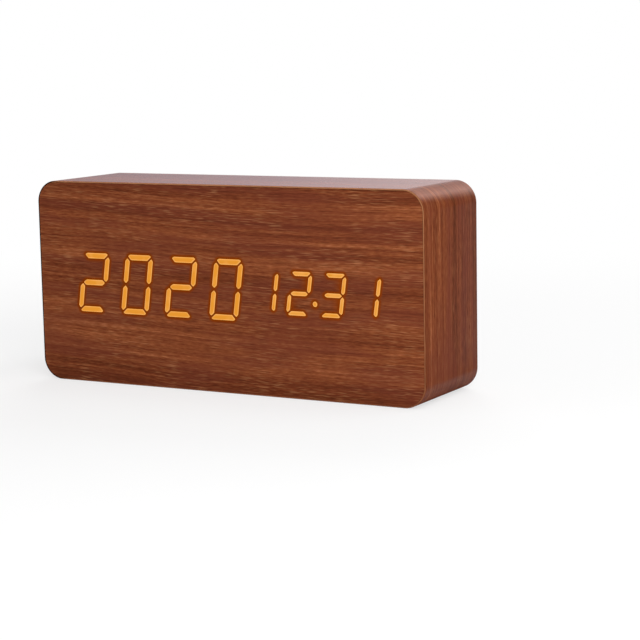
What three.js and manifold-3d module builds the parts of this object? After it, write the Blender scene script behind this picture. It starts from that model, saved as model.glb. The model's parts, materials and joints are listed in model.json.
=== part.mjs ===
// A wooden digital alarm clock: a film-wrapped fibreboard block with an LED calendar
// display behind its front film, and a moulded control panel let into its back.
// Millimetres, +Z up. The front faces -Y, and the origin is under the middle of the base.
import * as THREE from "three";
import { mergeVertices } from "three/addons/utils/BufferGeometryUtils.js";
import Module from "manifold-3d";

// Case
const caseWidth = 150;
const caseDepth = 40;
const caseHeight = 70;
const caseCornerRadius = 7.5;
const filmThickness = 0.5;
const glueGap = 0.1;
const wrapSeamX = 45;
const wrapSeamWidth = 0.2;
const frontWallThickness = 5;
const pocketCornerRadius = 9;

// Display digits, measured on the front face
const digitsPerGroup = 4;
const rowMargin = 16.56;
const rowOffsetX = 0.5;
const yearWidthShare = 0.574;
const yearDigitHeight = 20.7;
const yearStroke = 2.05;
const yearGap = 6.45;
const groupGap = 5.43;
const dateDigitHeight = 14.6;
const dateStroke = 1.7;
const dateGap = 4.1;
const segmentGap = 0.5;
const segmentCorner = 0.3;
const digitLeanDegrees = 8;
const dotDiameter = 2.1;
const dotDrop = 3.15;

// Display module
const lensPlateThickness = 0.45;
const lensPlateMargin = 0.2;
const lensClearance = 0.15;
const reflectorMargin = 1.5;
const flangeMargin = 6;
const flangeThickness = 2;
const flangeCornerRadius = 1;
const circuitBoardThickness = 1.6;
const ledLength = 1.6;
const ledWidth = 0.8;
const ledHeight = 0.6;
const displayScrewInsetX = 11;
const displayScrewInsetZ = 3;

// Parts soldered to the back of the display board
const chipWidth = 7.5;
const chipHeight = 2.3;
const controllerX = -22;
const controllerLength = 17.9;
const controllerLegCount = 14;
const driverX = 18;
const driverLength = 10.3;
const driverLegCount = 8;
const legPitch = 1.27;
const legWidth = 0.42;
const legReach = 1.4;
const legThickness = 0.25;
const crystalX = 0;
const crystalDiameter = 3;
const crystalLength = 8;
const crystalLeadWidth = 0.5;
const crystalLeadPitch = 1.1;
const capacitorX = 38;
const capacitorDiameter = 6.3;
const capacitorHeight = 7.7;
const capacitorBase = 6.6;
const capacitorBaseHeight = 1.2;

// Control panel
const panelThickness = 2.5;
const panelRecess = 1.2;
const panelBorder = 5;
const panelLedge = 3;
const panelCornerRadius = 3;
const panelScrewInset = 3.6;

// Battery bay, its cells and its contacts
const bayRightX = -1;
const bayWall = 1.6;
const bayLedge = 2;
const cellCount = 3;
const cellDiameter = 10.5;
const cellLength = 44.5;
const cellShoulder = 0.6;
const cellNubDiameter = 3.8;
const cellNubLength = 0.8;
const cellSpacing = 0.6;
const cellHeadroom = 0.3;
const cellRibWidth = 1;
const cellRibHeight = 3.1;
const contactThickness = 0.4;
const contactWidth = 8.6;
const solderTabWidth = 2.4;
const solderTabReach = 1.4;
const springLength = 3.4;
const springWire = 0.6;
const springTurns = 3;
const springBaseRadius = 3.6;
const springTipRadius = 2.2;

// Battery door
const doorThickness = 1.5;
const doorCornerRadius = 1.6;
const doorTabSpan = 30;
const doorTabWidth = 5;
const doorTabThickness = 0.75;
const doorTabReach = 1.5;
const latchWidth = 9;
const latchHeight = 8;
const latchSlot = 0.9;
const latchGrooveCount = 3;
const latchGrooveWidth = 0.7;
const latchGrooveDepth = 0.4;
const latchGroovePitch = 1.7;
const thumbNotchWidth = 14;
const thumbNotchHeight = 4.5;
const thumbNotchDepth = 1.1;
const thumbNotchCornerRadius = 2;

// Key board, and what stands on it between the board and the control panel
const keyBoardLeftX = 1;
const keyBoardWidth = 52;
const keyBoardHeight = 36;
const keyBoardCornerRadius = 1.5;
const keyScrewInset = 3;
const postDiameter = 5;
const buttonPitch = 16;
const buttonRise = 11;
const buttonDiameter = 7;
const buttonProud = 0.8;
const buttonEdge = 0.5;
const buttonShoulderDiameter = 8.8;
const buttonShoulderThickness = 1;
const buttonStemDiameter = 3.6;
const buttonStemLength = 1.2;
const buttonTravel = 0.3;
const buttonMarkSize = 2.8;
const buttonMarkDepth = 0.25;
const switchSize = 6;
const switchHeight = 3.5;
const switchFootWidth = 0.7;
const switchFootReach = 1.2;
const switchFootThickness = 0.3;
const switchFootPitch = 4.5;
const plungerDiameter = 3.4;
const plungerProud = 1.5;
const plungerSeat = 0.8;
const lowerRowDrop = 11;
const socketX = 16;
const socketWidth = 7.6;
const socketHeight = 2.8;
const socketWall = 0.35;
const socketCornerRadius = 0.9;
const socketDepth = 5;
const socketTongueWidth = 4.6;
const socketTongueThickness = 0.7;
const socketTongueRise = 0.4;
const socketTongueSetback = 0.5;
const plugRecessWidth = 12;
const plugRecessHeight = 7.6;
const plugRecessDepth = 0.9;
const plugRecessCornerRadius = 2;
const buzzerX = -15;
const buzzerDiameter = 12;
const buzzerClearance = 0.6;
const buzzerHoleDiameter = 2;
const buzzerHoleDepth = 1.5;
const grilleSlotCount = 5;
const grilleSlotWidth = 1;
const grilleSlotLength = 8;
const grilleSlotPitch = 2;
const microphoneX = 0.5;
const microphoneDrop = 13;
const microphoneDiameter = 6;
const microphoneDepth = 2.7;
const microphoneHole = 1.6;
const microphoneCollarWall = 0.9;
const microphoneCollarHeight = 2.2;
const sensorX = 0.5;
const sensorDrop = 4;
const sensorDiameter = 2.6;
const sensorLength = 3.2;
const sensorClearance = 0.6;
const sensorSlotCount = 3;
const sensorSlotLength = 4;
const sensorSlotHeight = 0.9;
const sensorSlotPitch = 1.8;
const partLeadDiameter = 0.5;
const partLeadPitch = 1.6;

// Screws
const panelScrew = { head: 4.6, headHeight: 1.2, shank: 2.4, length: 10 };
const displayScrew = { head: 3.4, headHeight: 1, shank: 1.7, length: 7 };
const keyScrew = { head: 3.4, headHeight: 1, shank: 1.7, length: 6 };
const crossWidth = 0.7;
const crossDepth = 0.6;
const crossSpanShare = 0.6;
const screwTipShare = 0.5;
const pilotAllowance = 0.5;

// Cables
const ribbonWidth = 12;
const ribbonThickness = 1;
const ribbonInset = 7;
const ribbonSwing = 1.6;
const batteryLeadDiameter = 1.3;
const batteryLeadBend = 2.2;
const batteryLeadInset = 8;

// Running and seating clearances, how far cuts run over, and how deep joined pieces sink in
const seatGap = 0.1;
const fitGap = 0.2;
const moveGap = 0.3;
const screwGap = 0.15;
const overrun = 1;
const sink = 0.2;

// Steps of round shapes. An arc of a drawn outline has twice as many sides as its steps.
const caseCornerSteps = 4;
const cornerSteps = 2;
const showingSides = 32;
const roundSides = 16;
const smallSides = 8;
const tubeSteps = 4;
const leadSteps = 24;
const ribbonSteps = 8;
const springWireSteps = 3;
const springStepsPerTurn = 8;
const weldDistance = 1e-4;

// The case and the row of digits
const frontY = -caseDepth / 2;
const backY = caseDepth / 2;
const middleZ = caseHeight / 2;
const woodInset = filmThickness + glueGap;
const woodFrontY = frontY + woodInset;
const woodBackY = backY - woodInset;
const woodWidth = caseWidth - 2 * woodInset;
const woodHeight = caseHeight - 2 * woodInset;
const pocketFrontY = woodFrontY + frontWallThickness;

// The row runs from margin to margin. What its gaps leave is shared out among the digits.
const lean = Math.tan(THREE.MathUtils.degToRad(digitLeanDegrees));
const gapsPerGroup = digitsPerGroup - 1;
const rowWidth = caseWidth - 2 * rowMargin;
const digitPairWidth = (rowWidth - groupGap - gapsPerGroup * (yearGap + dateGap)) / digitsPerGroup;
const yearDigitWidth = yearWidthShare * digitPairWidth;
const dateDigitWidth = digitPairWidth - yearDigitWidth;
const yearPitch = yearDigitWidth + yearGap;
const datePitch = dateDigitWidth + dateGap;
const dateWidth = dateDigitWidth + gapsPerGroup * datePitch;
const yearFirstX = rowOffsetX - rowWidth / 2 + yearDigitWidth / 2;
const dateFirstX = rowOffsetX + rowWidth / 2 - dateWidth + dateDigitWidth / 2;
const colonX = dateFirstX + (gapsPerGroup / 2) * datePitch;
const rowReach = Math.max(
  rowWidth / 2 - rowOffsetX + (lean * yearDigitHeight) / 2,
  rowWidth / 2 + rowOffsetX + (lean * dateDigitHeight) / 2,
);

// The display module, from the front film back to its circuit board
const lensPlateFrontY = woodFrontY + seatGap;
const lensPlateBackY = lensPlateFrontY + lensPlateThickness;
const reflectorFaceWidth = 2 * (rowReach + reflectorMargin);
const reflectorFaceHeight = yearDigitHeight + 2 * reflectorMargin;
const flangeHeight = reflectorFaceHeight + 2 * flangeMargin;
const flangeFrontY = pocketFrontY + seatGap;
const flangeBackY = flangeFrontY + flangeThickness;
const displayBoardFrontY = flangeBackY + seatGap;
const displayBoardBackY = displayBoardFrontY + circuitBoardThickness;
const onBoardY = displayBoardBackY + seatGap;

// The control panel and the battery bay moulded to it
const panelWidth = woodWidth - 2 * panelBorder;
const panelHeight = woodHeight - 2 * panelBorder;
const pocketWidth = panelWidth - 2 * panelLedge;
const pocketHeight = panelHeight - 2 * panelLedge;
const panelOuterY = backY - panelRecess;
const panelInnerY = panelOuterY - panelThickness;
const doorInnerY = panelOuterY - doorThickness;
const cellAxisY = doorInnerY - cellHeadroom - cellDiameter / 2;
const bayFloorY = cellAxisY - cellDiameter / 2 - cellHeadroom;
const bayBottomY = bayFloorY - bayWall;
const cellPitch = cellDiameter + cellSpacing;
const bayHeight = cellCount * cellPitch + cellSpacing;
const bayLength = cellLength + springLength + 2 * contactThickness + 4 * seatGap;
const bayX = bayRightX - bayWall - bayLength / 2;
const doorWidth = bayLength + 2 * bayLedge - 2 * moveGap;
const doorHeight = bayHeight + 2 * bayLedge - 2 * moveGap;
const doorBottomZ = middleZ - doorHeight / 2;
const doorTopZ = middleZ + doorHeight / 2;

// The key board and what stands on it
const keyBoardX = keyBoardLeftX + keyBoardWidth / 2;
const buttonZ = middleZ + buttonRise;
const shoulderBackY = panelInnerY - seatGap;
const shoulderFrontY = shoulderBackY - buttonShoulderThickness;
const stemFrontY = shoulderFrontY - buttonStemLength;
const plungerBackY = stemFrontY - seatGap;
const switchBackY = plungerBackY - plungerProud;
const onKeyBoardY = switchBackY - switchHeight;
const keyBoardBackY = onKeyBoardY - seatGap;
const keyBoardFrontY = keyBoardBackY - circuitBoardThickness;
const socketMouthY = panelOuterY - plugRecessDepth;

// Turns a closed geometry into a solid that can be cut and joined.
const wasm = await Module();
wasm.setup();

function solidOf(geometry) {
  const bare = geometry.clone();
  bare.deleteAttribute("normal");
  bare.deleteAttribute("uv");
  const merged = mergeVertices(bare, weldDistance);
  const vertProperties = merged.attributes.position.array;
  const triVerts = new Uint32Array(merged.index.array);
  return new wasm.Manifold(new wasm.Mesh({ numProp: 3, vertProperties, triVerts }));
}

function geometryOf(solid) {
  const mesh = solid.getMesh();
  const shared = new THREE.BufferGeometry();
  shared.setAttribute("position", new THREE.BufferAttribute(mesh.vertProperties, 3));
  shared.setIndex(new THREE.BufferAttribute(mesh.triVerts, 1));
  const faceted = shared.toNonIndexed();
  faceted.computeVertexNormals();
  return faceted;
}

function cut(body, tools) {
  return geometryOf(tools.reduce((solid, tool) => solid.subtract(solidOf(tool)), solidOf(body)));
}

function join([first, ...others]) {
  return geometryOf(others.reduce((solid, piece) => solid.add(solidOf(piece)), solidOf(first)));
}

// An outline drawn in X and Z, made solid from yFront back to yBack.
function slab(shape, yFront, yBack, curveSegments = cornerSteps) {
  const settings = { depth: yBack - yFront, bevelEnabled: false, curveSegments };
  const geometry = new THREE.ExtrudeGeometry(shape, settings);
  geometry.rotateX(Math.PI / 2);
  geometry.translate(0, yBack, 0);
  return geometry;
}

function box(xMin, xMax, yMin, yMax, zMin, zMax) {
  const geometry = new THREE.BoxGeometry(xMax - xMin, yMax - yMin, zMax - zMin);
  geometry.translate((xMin + xMax) / 2, (yMin + yMax) / 2, (zMin + zMax) / 2);
  return geometry;
}

// A box given by its centre in X and Z, and by its front and back.
function boxAt(x, z, width, height, yFront, yBack) {
  return box(x - width / 2, x + width / 2, yFront, yBack, z - height / 2, z + height / 2);
}

function rod(x, z, diameter, yFront, yBack, sides = roundSides) {
  const geometry = new THREE.CylinderGeometry(diameter / 2, diameter / 2, yBack - yFront, sides);
  geometry.translate(x, (yFront + yBack) / 2, z);
  return geometry;
}

// A shape turned about the Y direction, from [radius, y] pairs that start and end on the axis.
function turned(profile, sides = roundSides) {
  return new THREE.LatheGeometry(profile.map(([radius, y]) => new THREE.Vector2(radius, y)), sides);
}

// Draws a rectangle with round corners into a Shape or a Path.
function roundedRectangle(path, x, z, width, height, radius) {
  const right = x + width / 2 - radius;
  const left = x - width / 2 + radius;
  const top = z + height / 2 - radius;
  const bottom = z - height / 2 + radius;
  path.moveTo(right, bottom - radius);
  path.absarc(right, bottom, radius, -Math.PI / 2, 0, false);
  path.absarc(right, top, radius, 0, Math.PI / 2, false);
  path.absarc(left, top, radius, Math.PI / 2, Math.PI, false);
  path.absarc(left, bottom, radius, Math.PI, (3 * Math.PI) / 2, false);
  path.closePath();
  return path;
}

function roundedShape(x, z, width, height, radius) {
  return roundedRectangle(new THREE.Shape(), x, z, width, height, radius);
}

// The four corners of a rectangle about a centre, at the given distances from it.
function corners(x, z, reachX, reachZ) {
  return [
    [x - reachX, z - reachZ],
    [x + reachX, z - reachZ],
    [x + reachX, z + reachZ],
    [x - reachX, z + reachZ],
  ];
}

const finishes = {
  woodFilm: { color: 0x7a4128, roughness: 0.5, metalness: 0 },
  fibreboard: { color: 0xa8835a, roughness: 0.9, metalness: 0 },
  blackPlastic: { color: 0x1d1d1f, roughness: 0.55, metalness: 0 },
  amberLens: { color: 0xf0a438, roughness: 0.4, metalness: 0 },
  circuitBoard: { color: 0x1f5c36, roughness: 0.5, metalness: 0 },
  chipResin: { color: 0x232326, roughness: 0.6, metalness: 0 },
  steel: { color: 0xb9bcc0, roughness: 0.35, metalness: 1 },
  cellJacket: { color: 0x3c4652, roughness: 0.35, metalness: 0.2 },
  redSleeve: { color: 0xa6231c, roughness: 0.5, metalness: 0 },
  blackSleeve: { color: 0x242424, roughness: 0.5, metalness: 0 },
  greyRibbon: { color: 0x9a9da1, roughness: 0.5, metalness: 0 },
  sensorResin: { color: 0x8a5a2c, roughness: 0.4, metalness: 0 },
};
const materials = {};
for (const [name, look] of Object.entries(finishes)) {
  materials[name] = new THREE.MeshStandardMaterial(look);
}

const clock = new THREE.Group();

function add(name, geometry, finish) {
  const mesh = new THREE.Mesh(geometry, materials[finish]);
  mesh.name = name;
  clock.add(mesh);
}

// A pan-head screw with a cross recess. The underside of its head lies at y, and its shank
// points along +Y, or along -Y where the direction is negative.
function screw(x, z, y, direction, { head, headHeight, shank, length }, sides) {
  const body = turned([
    [0, -headHeight],
    [head / 2 - headHeight / 2, -headHeight],
    [head / 2, -headHeight / 2],
    [head / 2, 0],
    [shank / 2, 0],
    [shank / 2, length - shank * screwTipShare],
    [0, length],
  ], sides);
  const arm = (crossSpanShare * head) / 2;
  const slotFront = -headHeight - overrun;
  const slotBack = crossDepth - headHeight;
  const made = cut(body, [
    box(-arm, arm, slotFront, slotBack, -crossWidth / 2, crossWidth / 2),
    box(-crossWidth / 2, crossWidth / 2, slotFront, slotBack, -arm, arm),
  ]);
  if (direction < 0) {
    made.rotateZ(Math.PI);
  }
  made.translate(x, y, z);
  return made;
}

// Case: a milled fibreboard block under films on its front, its back and its sides.

const panelScrewHeadY = panelOuterY - panelScrew.headHeight;
const displayScrewHeadY = displayBoardBackY + seatGap;

function panelScrewPlaces() {
  return corners(0, middleZ, panelWidth / 2 - panelScrewInset, panelHeight / 2 - panelScrewInset);
}

function displayScrewPlaces() {
  const reachX = reflectorFaceWidth / 2 - displayScrewInsetX;
  return corners(0, middleZ, reachX, flangeHeight / 2 - displayScrewInsetZ);
}

function panelOpening(makePath) {
  const width = panelWidth + 2 * fitGap;
  const height = panelHeight + 2 * fitGap;
  return roundedRectangle(makePath, 0, middleZ, width, height, panelCornerRadius + fitGap);
}

function woodOutline() {
  return roundedShape(0, middleZ, woodWidth, woodHeight, caseCornerRadius - woodInset);
}

function caseBody() {
  const windowWidth = reflectorFaceWidth + 2 * fitGap;
  const windowHeight = reflectorFaceHeight + 2 * fitGap;
  const pocket = roundedShape(0, middleZ, pocketWidth, pocketHeight, pocketCornerRadius);
  const panelPilot = panelScrew.shank + 2 * screwGap;
  const panelPilotEnd = panelScrewHeadY - panelScrew.length - pilotAllowance;
  const displayPilot = displayScrew.shank + 2 * screwGap;
  const displayPilotEnd = displayScrewHeadY - displayScrew.length - pilotAllowance;
  return cut(slab(woodOutline(), woodFrontY, woodBackY, caseCornerSteps), [
    boxAt(0, middleZ, windowWidth, windowHeight, woodFrontY - overrun, pocketFrontY + overrun),
    slab(pocket, pocketFrontY, woodBackY + overrun),
    slab(panelOpening(new THREE.Shape()), panelInnerY - seatGap, woodBackY + overrun),
    ...panelScrewPlaces().map(([x, z]) => rod(x, z, panelPilot, panelPilotEnd, panelInnerY, smallSides)),
    ...displayScrewPlaces().map(([x, z]) => {
      return rod(x, z, displayPilot, displayPilotEnd, pocketFrontY + overrun, smallSides);
    }),
  ]);
}

function sideWrap() {
  const shape = roundedShape(0, middleZ, caseWidth, caseHeight, caseCornerRadius);
  const width = caseWidth - 2 * filmThickness;
  const height = caseHeight - 2 * filmThickness;
  const radius = caseCornerRadius - filmThickness;
  shape.holes.push(roundedRectangle(new THREE.Path(), 0, middleZ, width, height, radius));
  const seam = boxAt(wrapSeamX, 0, wrapSeamWidth, 2 * woodInset, frontY - overrun, backY + overrun);
  return cut(slab(shape, frontY, backY, caseCornerSteps), [seam]);
}

function backFilm() {
  const shape = woodOutline();
  shape.holes.push(panelOpening(new THREE.Path()));
  return slab(shape, backY - filmThickness, backY, caseCornerSteps);
}

// Display: seven-segment digits that lean to the right. Their letters run clockwise from the
// top bar a, and g is the middle bar.

const yearSize = { width: yearDigitWidth, height: yearDigitHeight, stroke: yearStroke };
const dateSize = { width: dateDigitWidth, height: dateDigitHeight, stroke: dateStroke };
const litSegments = { 0: "abcdef", 1: "bc", 2: "abdeg", 3: "abcdg" };
const everySegment = "abcdefg";

function digitRow(namePrefix, figures, firstX, pitch, size) {
  return [...figures].map((figure, i) => {
    return { name: `${namePrefix}_${i + 1}`, figure, x: firstX + i * pitch, size };
  });
}

const digits = [
  ...digitRow("year_digit", "2020", yearFirstX, yearPitch, yearSize),
  ...digitRow("date_digit", "1231", dateFirstX, datePitch, dateSize),
];

// Where a segment's ends taper, as shares of its stroke.
const barTipShare = 0.25;
const barShoulderShare = 0.44;
const postTipShare = 0.39;
const postShoulderShare = 0.54;
const postFootShare = 0.4;

// The corners of one segment about its digit's centre, before the digit leans, anticlockwise.
function uprightSegment(letter, { width, height, stroke }) {
  const right = width / 2;
  const top = height / 2;
  const miterGap = segmentGap / Math.SQRT2;
  const barTip = barTipShare * stroke;
  const postTip = postTipShare * stroke;
  const barEnd = right - barTip - miterGap;
  const postEnd = top - postTip - miterGap;
  const topBar = [
    [barEnd, top - barTip],
    [barEnd - barShoulderShare * stroke, top],
    [-barEnd + barShoulderShare * stroke, top],
    [-barEnd, top - barTip],
    [-right + stroke + miterGap, top - stroke],
    [right - stroke - miterGap, top - stroke],
  ];
  const upperPost = [
    [right, segmentGap + postFootShare * stroke],
    [right, postEnd - postShoulderShare * stroke],
    [right - postTip, postEnd],
    [right - stroke, top - stroke - miterGap],
    [right - stroke, stroke / 2 + miterGap],
    [right - stroke / 2, segmentGap],
  ];
  const barMiddleTip = right - stroke / 2 - miterGap;
  const middleBar = [
    [barMiddleTip, 0],
    [barMiddleTip - stroke / 2, stroke / 2],
    [-barMiddleTip + stroke / 2, stroke / 2],
    [-barMiddleTip, 0],
    [-barMiddleTip + stroke / 2, -stroke / 2],
    [barMiddleTip - stroke / 2, -stroke / 2],
  ];
  const mirrored = (points, signX, signZ) => {
    const placed = points.map(([u, v]) => [signX * u, signZ * v]);
    return signX === signZ ? placed : placed.reverse();
  };
  const outlines = {
    a: () => topBar,
    b: () => upperPost,
    c: () => mirrored(upperPost, 1, -1),
    d: () => mirrored(topBar, 1, -1),
    e: () => mirrored(upperPost, -1, -1),
    f: () => mirrored(upperPost, -1, 1),
    g: () => middleBar,
  };
  return outlines[letter]();
}

// Moves every edge of a convex outline outwards by the same distance.
function grown(points, distance) {
  const count = points.length;
  const edges = points.map(([x, z], i) => {
    const [nextX, nextZ] = points[(i + 1) % count];
    const length = Math.hypot(nextX - x, nextZ - z);
    const normal = [(nextZ - z) / length, (x - nextX) / length];
    return { normal, offset: normal[0] * x + normal[1] * z + distance };
  });
  return points.map((_, i) => {
    const before = edges[(i + count - 1) % count];
    const after = edges[i];
    const cross = before.normal[0] * after.normal[1] - before.normal[1] * after.normal[0];
    return [
      (before.offset * after.normal[1] - after.offset * before.normal[1]) / cross,
      (after.offset * before.normal[0] - before.offset * after.normal[0]) / cross,
    ];
  });
}

// Cuts each corner off at the same distance along both of its edges.
function softened(points, distance) {
  const count = points.length;
  return points.flatMap(([x, z], i) => {
    return [points[(i + count - 1) % count], points[(i + 1) % count]].map(([otherX, otherZ]) => {
      const part = distance / Math.hypot(otherX - x, otherZ - z);
      return [x + part * (otherX - x), z + part * (otherZ - z)];
    });
  });
}

// A segment's outline on the front of the clock, leaning and in its digit's place.
function placed(points, digit) {
  return points.map(([u, v]) => new THREE.Vector2(digit.x + u + lean * v, middleZ + v));
}

function segmentOpening(letter, digit, clearance) {
  return placed(grown(uprightSegment(letter, digit.size), clearance), digit);
}

function segmentLight(letter, digit) {
  return placed(softened(uprightSegment(letter, digit.size), segmentCorner), digit);
}

// The two places of the colon between the date's pairs. Only the lower one is lit.
function colonPlace(side) {
  return [colonX + side * lean * dotDrop, middleZ + side * dotDrop];
}

function dotHole(side, diameter) {
  const [x, z] = colonPlace(side);
  return new THREE.Path().absarc(x, z, diameter / 2, 0, 2 * Math.PI, false);
}

function frontFilm() {
  const shape = woodOutline();
  for (const digit of digits) {
    for (const letter of litSegments[digit.figure]) {
      shape.holes.push(new THREE.Path(segmentOpening(letter, digit, lensClearance)));
    }
  }
  shape.holes.push(dotHole(-1, dotDiameter + 2 * lensClearance));
  return slab(shape, frontY, frontY + filmThickness, caseCornerSteps);
}

// A light guide stands on a thin plate that leans as its digit does.
function plateOutline(x, { width, height }, margin) {
  const reachX = width / 2 + margin;
  const reachZ = height / 2 + margin;
  return new THREE.Shape(placed(corners(0, 0, reachX, reachZ), { x }));
}

function digitGuide(digit) {
  const plate = slab(plateOutline(digit.x, digit.size, lensPlateMargin), lensPlateFrontY, lensPlateBackY);
  const raised = [...litSegments[digit.figure]].map((letter) => {
    return slab(new THREE.Shape(segmentLight(letter, digit)), frontY, lensPlateFrontY + sink);
  });
  return join([plate, ...raised]);
}

const colonSize = { width: dotDiameter, height: dotDiameter + 2 * dotDrop };

function dotGuide() {
  const plate = slab(plateOutline(colonX, colonSize, lensPlateMargin), lensPlateFrontY, lensPlateBackY);
  const [x, z] = colonPlace(-1);
  return join([plate, rod(x, z, dotDiameter, frontY, lensPlateFrontY + sink, smallSides)]);
}

// The cell block fills the window in the case's front wall, and its flange lies behind the wall.
function displayReflector() {
  const face = boxAt(0, middleZ, reflectorFaceWidth, reflectorFaceHeight, woodFrontY, flangeBackY);
  const flange = roundedShape(0, middleZ, reflectorFaceWidth, flangeHeight, flangeCornerRadius);
  const block = join([face, slab(flange, flangeFrontY, flangeBackY)]);
  const through = (outline) => slab(new THREE.Shape(outline), woodFrontY - overrun, flangeBackY + overrun);
  const cells = digits.flatMap((digit) => {
    return [...everySegment].map((letter) => through(segmentOpening(letter, digit, 0)));
  });
  const dots = [-1, 1].map((side) => {
    const [x, z] = colonPlace(side);
    return rod(x, z, dotDiameter, woodFrontY - overrun, flangeBackY + overrun, smallSides);
  });
  const seatMargin = lensPlateMargin + lensClearance;
  const seats = [...digits, { x: colonX, size: colonSize }].map(({ x, size }) => {
    return slab(plateOutline(x, size, seatMargin), woodFrontY - overrun, lensPlateBackY + seatGap);
  });
  const screwHole = displayScrew.shank + 2 * screwGap;
  const holes = displayScrewPlaces().map(([x, z]) => {
    return rod(x, z, screwHole, flangeFrontY - overrun, flangeBackY + overrun, smallSides);
  });
  return cut(block, [...cells, ...dots, ...seats, ...holes]);
}

// The display board carries a light-emitting chip behind every segment and dot.
function displayBoard() {
  const outline = roundedShape(0, middleZ, reflectorFaceWidth, flangeHeight, flangeCornerRadius);
  const board = slab(outline, displayBoardFrontY, displayBoardBackY);
  const ledFrontY = displayBoardFrontY - ledHeight;
  const ledBackY = displayBoardFrontY + sink;
  const segmentLights = digits.flatMap((digit) => {
    return [...everySegment].map((letter) => {
      const points = segmentOpening(letter, digit, 0);
      const x = points.reduce((sum, point) => sum + point.x, 0) / points.length;
      const z = points.reduce((sum, point) => sum + point.y, 0) / points.length;
      const upright = "bcef".includes(letter);
      const width = upright ? ledWidth : ledLength;
      const height = upright ? ledLength : ledWidth;
      return boxAt(x, z, width, height, ledFrontY, ledBackY);
    });
  });
  const dotLights = [-1, 1].map((side) => {
    const [x, z] = colonPlace(side);
    return boxAt(x, z, ledWidth, ledWidth, ledFrontY, ledBackY);
  });
  const screwHole = displayScrew.shank + 2 * screwGap;
  const holes = displayScrewPlaces().map(([x, z]) => {
    return rod(x, z, screwHole, displayBoardFrontY - overrun, displayBoardBackY + overrun, smallSides);
  });
  return cut(join([board, ...segmentLights, ...dotLights]), holes);
}

// A flat chip with a row of legs along its upper and its lower edge.
function chip(x, length, legCount) {
  const legs = [];
  for (let i = 0; i < legCount; i += 1) {
    const legX = x + (i - (legCount - 1) / 2) * legPitch;
    for (const side of [-1, 1]) {
      const z = middleZ + side * (chipWidth / 2 + (legReach - sink) / 2);
      legs.push(boxAt(legX, z, legWidth, legReach + sink, onBoardY, onBoardY + legThickness));
    }
  }
  return join([boxAt(x, middleZ, length, chipWidth, onBoardY, onBoardY + chipHeight), ...legs]);
}

// A small can that lies on the board, with two leads at its lower end.
function clockCrystal() {
  const can = new THREE.CylinderGeometry(crystalDiameter / 2, crystalDiameter / 2, crystalLength, smallSides);
  can.rotateX(Math.PI / 2);
  can.translate(crystalX, onBoardY + crystalDiameter / 2, middleZ);
  const leads = [-1, 1].map((side) => {
    const x = crystalX + (side * crystalLeadPitch) / 2;
    const z = middleZ - crystalLength / 2;
    return boxAt(x, z, crystalLeadWidth, 2 * crystalLeadWidth, onBoardY, onBoardY + crystalDiameter / 2);
  });
  return join([can, ...leads]);
}

function smoothingCapacitor() {
  const baseBackY = onBoardY + capacitorBaseHeight;
  const base = boxAt(capacitorX, middleZ, capacitorBase, capacitorBase, onBoardY, baseBackY);
  const can = rod(capacitorX, middleZ, capacitorDiameter, baseBackY - sink, onBoardY + capacitorHeight);
  return join([base, can]);
}

// Control panel: a plate with the battery bay, the board posts and the microphone's collar.

const microphonePlace = [keyBoardX + microphoneX, middleZ - microphoneDrop];
const sensorPlace = [keyBoardX + sensorX, middleZ - sensorDrop];
const buzzerPlace = [keyBoardX + buzzerX, middleZ - lowerRowDrop];
const socketPlace = [keyBoardX + socketX, middleZ - lowerRowDrop];

// The buttons from right to left as seen from behind, which is from -X to +X.
const buttons = [
  { key: "down", x: keyBoardX - buttonPitch },
  { key: "up", x: keyBoardX },
  { key: "set", x: keyBoardX + buttonPitch },
];

function keyScrewPlaces() {
  const reachX = keyBoardWidth / 2 - keyScrewInset;
  return corners(keyBoardX, middleZ, reachX, keyBoardHeight / 2 - keyScrewInset);
}

// The height of a cell's axis, counted down from the top row.
function rowZ(row) {
  return middleZ + ((cellCount - 1) / 2 - row) * cellPitch;
}

// The middle plane of the contacts at the left end of the bay, or at its right end.
function contactX(side) {
  return bayX + side * (bayLength / 2 - seatGap - contactThickness / 2);
}

function tabSlot(side, row) {
  const width = contactThickness + 2 * fitGap;
  const height = solderTabWidth + 2 * fitGap;
  return boxAt(contactX(side), rowZ(row), width, height, bayBottomY - overrun, bayFloorY + overrun);
}

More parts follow.
